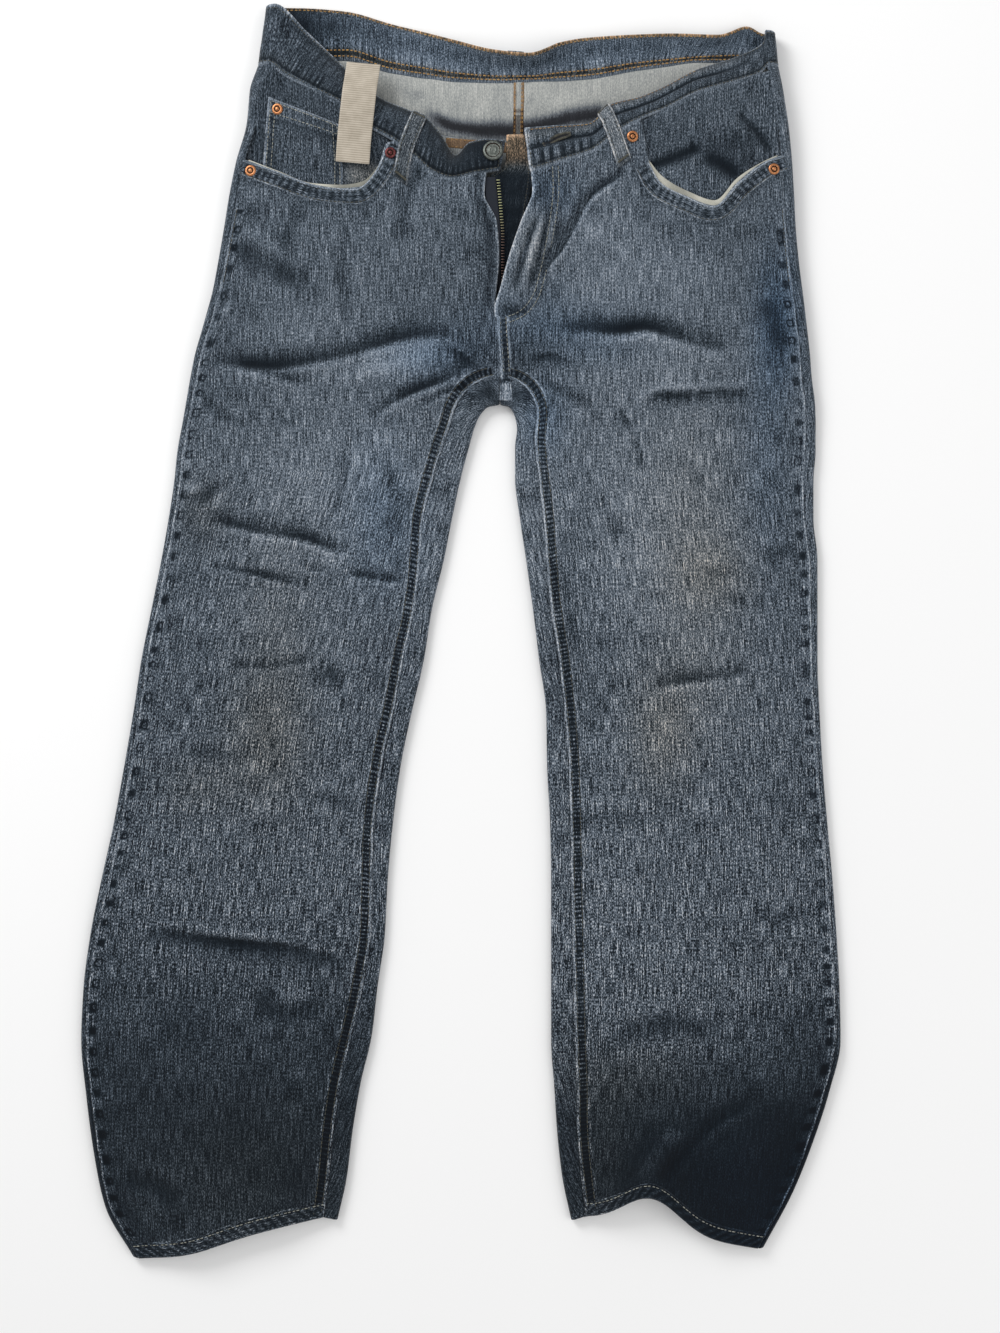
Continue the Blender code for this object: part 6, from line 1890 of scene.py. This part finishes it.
def teeth(side):
    """A row of zip teeth along the chain's line, in place of the chain's plain bar."""
    chain = zip_rows(side)[1]
    reach = along(chain)
    middle = spaced(bend(chain, reach, np.linspace(0, reach[-1], 200)), 2.3)
    middle = middle[1:-1] - (0, 0, CHAIN_WALL / 2)
    ahead = np.gradient(middle, axis=0)
    ahead = ahead * np.sign(ahead[:, 1:2]) * -SIGN[side]
    points, faces = zip_tooth()
    points = points - ((points[:, 0].min() + points[:, 0].max()) * 0.5, 0, 0)
    piece = repeat(f"zip_teeth_{side}", (points, faces), middle, ahead, np.tile(UP, (len(middle), 1)),
                   (0.85, 0.8, 1), TEETH)
    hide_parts(f"zip_chain_{side}")


# ======== label, button and rivets
def label_piece():
    line = soft_line(LABEL_ROWS, 10)[:, None]
    k = np.linspace(-1, 1, 20)
    half = LABEL_WIDTH / 2
    x = line[..., 0] + k * half
    y = line[..., 1] - k * 0.09 * half
    z = front_z(line[..., 0], line[..., 1]) + line[..., 2] + LABEL_WALL
    z = z + 0.25 * np.sin(line[..., 1] / 9 + k * 1.3) + 0.2 * noise(x, y, 9, 161)
    return shell("label_tape", np.stack((x, y, z), axis=-1), LABEL_WALL, LABEL_TAPE,
                 plumb=True, wash_and_shade=0.7)


def turned_piece(name, node, radius, height, steps, recess, centre, up, finish, sides=48):
    """A round metal piece: a low cylinder whose top is inset and raised step by step."""
    bpy.ops.mesh.primitive_cylinder_add(vertices=sides, radius=radius * MM, depth=height * MM,
                                        location=(0, 0, height * MM / 2))
    piece = bpy.context.object
    piece.name = name
    bpy.ops.object.transform_apply(location=True, rotation=False, scale=False)
    open_end(piece, 2)
    for inward, raised in steps:
        bpy.ops.mesh.inset(thickness=inward * MM, depth=raised * MM)
    bpy.ops.mesh.poke()
    soften(piece, 0.12 * MM, segments=2, angle_limit=0.5)
    # The recessed ring's top faces take the second material, painted shade.
    for material in (finish, RECESS_SHADE):
        piece.data.materials.append(material)
    for face in piece.data.polygons:
        out = math.hypot(face.center.x, face.center.y) / MM
        face.material_index = int(recess[0] < out < recess[1] and face.center.z > height * MM)
    turn = mathutils.Vector(UP).rotation_difference(mathutils.Vector(unit(up)))
    piece.data.transform(turn.to_matrix().to_4x4())
    piece.data.transform(mathutils.Matrix.Translation(mathutils.Vector(centre * MM)))
    bpy.ops.object.shade_smooth_by_angle(angle=0.6)
    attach(piece, GARMENT)
    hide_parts(node)


# How far each step of a turned top goes in and up
BUTTON_STEPS = ((0.35, 0.45), (0.45, 0.3), (0.7, 0.12), (0.5, -0.05), (0.35, -0.45), (0.5, -0.15),
                (1.9, 0.1), (0.35, 0.35), (0.35, 0.1), (0.5, 0), (0.4, -0.2), (0.9, 0.05))
RIVET_STEPS = ((0.25, 0.3), (0.45, 0.3), (0.5, 0.1), (0.7, -0.15), (0.7, -0.05), (0.3, 0.3), (0.35, 0.4),
               (0.3, 0.15))
# Rivets: node, wearer's side, x, y
RIVETS = (
    ("rivet_coin_pocket", "right", -149, 425.6), ("rivet_pocket_right_outer", "right", -171, 376),
    ("rivet_pocket_right_inner", "right", -56.8, 388.8), ("rivet_pocket_left_inner", "left", 139.4, 402),
    ("rivet_pocket_left_outer", "left", 255, 377.4),
)


def metal_pieces():
    foot, up = band_at(0.55, 0.52, 0.5)
    turned_piece("waist_button", "button", 8.2, 2.2, BUTTON_STEPS, (5.4, 6.2), foot + up * 0.9, up, PEWTER)
    for node, side, x, y in RIVETS:
        foot = lay(side, x, y, 0.3)
        if node == "rivet_coin_pocket":
            foot = facing_point("right", x, y, COIN_WALL + LAY_GAP + 0.5)
        # The right pocket's inner rivet takes the copper painted in shade.
        turned_piece(node + "_cap", node, 4.6, 0.7, RIVET_STEPS, (1.65, 2.5), foot,
                     lay_normal(side, x, y, 3),
                     COPPER_IN_SHADE if node == "rivet_pocket_right_inner" else COPPER, 32)


# ======== the garment
for side in SIGN:
    plan = refine(front_rows(side), 2.4, 2.3)[0]
    panel = front(side, plan)
    strips = front_seams(side, plan)
    declare(panel, f"front_panel_{side}")
    declare(back(side), f"back_panel_{side}")
    fells = [yoke_fell(side)] + ([inside_fell()] if side == "right" else [])
    declare(yoke(side), f"yoke_{side}")
    declare(back_pocket(side), f"back_pocket_{side}")
    declare(facing_piece(side), f"pocket_facing_{side}")
    declare(bag_piece(side), f"pocket_bag_{side}")
    declare(tape_piece(side), f"zip_tape_{side}")
    teeth(side)

declare(waistband(), "waistband")
band_stitches()
seat_stitches()
for row in FRONT_LOOPS:
    declare(front_loop(*row), row[0])
for row in BACK_LOOPS:
    declare(back_loop(*row), row[0])
buttonhole()
declare(coin_pocket_piece(), "coin_pocket")
declare(fly_facing_piece(), "fly_facing")
declare(shield_piece(), "fly_shield")
declare(label_piece(), "care_label")
metal_pieces()
for node in ("zip_slider", "zip_pull_tab"):
    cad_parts[node].data.materials.clear()
    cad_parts[node].data.materials.append(BRASS)
finish_sewing((("gold", THREAD_GOLD), ("hem", THREAD_WORN), ("stitches_fly", THREAD_WORN),
               ("stitches_coin", THREAD_WORN), ("stitches", THREAD_DARK)))

# ======== stage, light and camera
CAMERA_X, CAMERA_Y, CAMERA_HEIGHT = 0.032, -0.0275, 2
FRAME_HEIGHT = 1.093  # what the picture's long side covers on the floor, in metres
SENSOR = 36
scene = bpy.context.scene

bpy.ops.mesh.primitive_plane_add(size=8, location=(0, 0, -0.0004))
floor = bpy.context.object
floor.name = "floor"
paper = Finish("floor_paper", 0.9, shine=0.1)
paper.inputs["Base Color"].default_value = (0.93, 0.93, 0.93, 1)
floor.data.materials.append(paper.material)

LIGHTS = (("key", (-1.3, 1.5, 1.3), 1, 34), ("fill", (1.6, -0.6, 1.6), 2, 12))
for name, place, size, power in LIGHTS:
    data = bpy.data.lights.new(name, "AREA")
    data.energy = power
    data.size = size
    lamp = bpy.data.objects.new(name, data)
    scene.collection.objects.link(lamp)
    lamp.location = place
    lamp.rotation_euler = (-mathutils.Vector(place)).to_track_quat("-Z", "Y").to_euler()

world = bpy.data.worlds.new("studio")
scene.world = world
world.use_nodes = True
world.node_tree.nodes["Background"].inputs["Color"].default_value = (1, 1, 1, 1)
world.node_tree.nodes["Background"].inputs["Strength"].default_value = 0.62

camera_data = bpy.data.cameras.new("camera")
camera_data.sensor_width = SENSOR
camera_data.lens = SENSOR * CAMERA_HEIGHT / FRAME_HEIGHT
camera = bpy.data.objects.new("camera", camera_data)
scene.collection.objects.link(camera)
camera.location = (CAMERA_X, CAMERA_Y, CAMERA_HEIGHT)
scene.camera = camera
scene.view_settings.view_transform = "Standard"
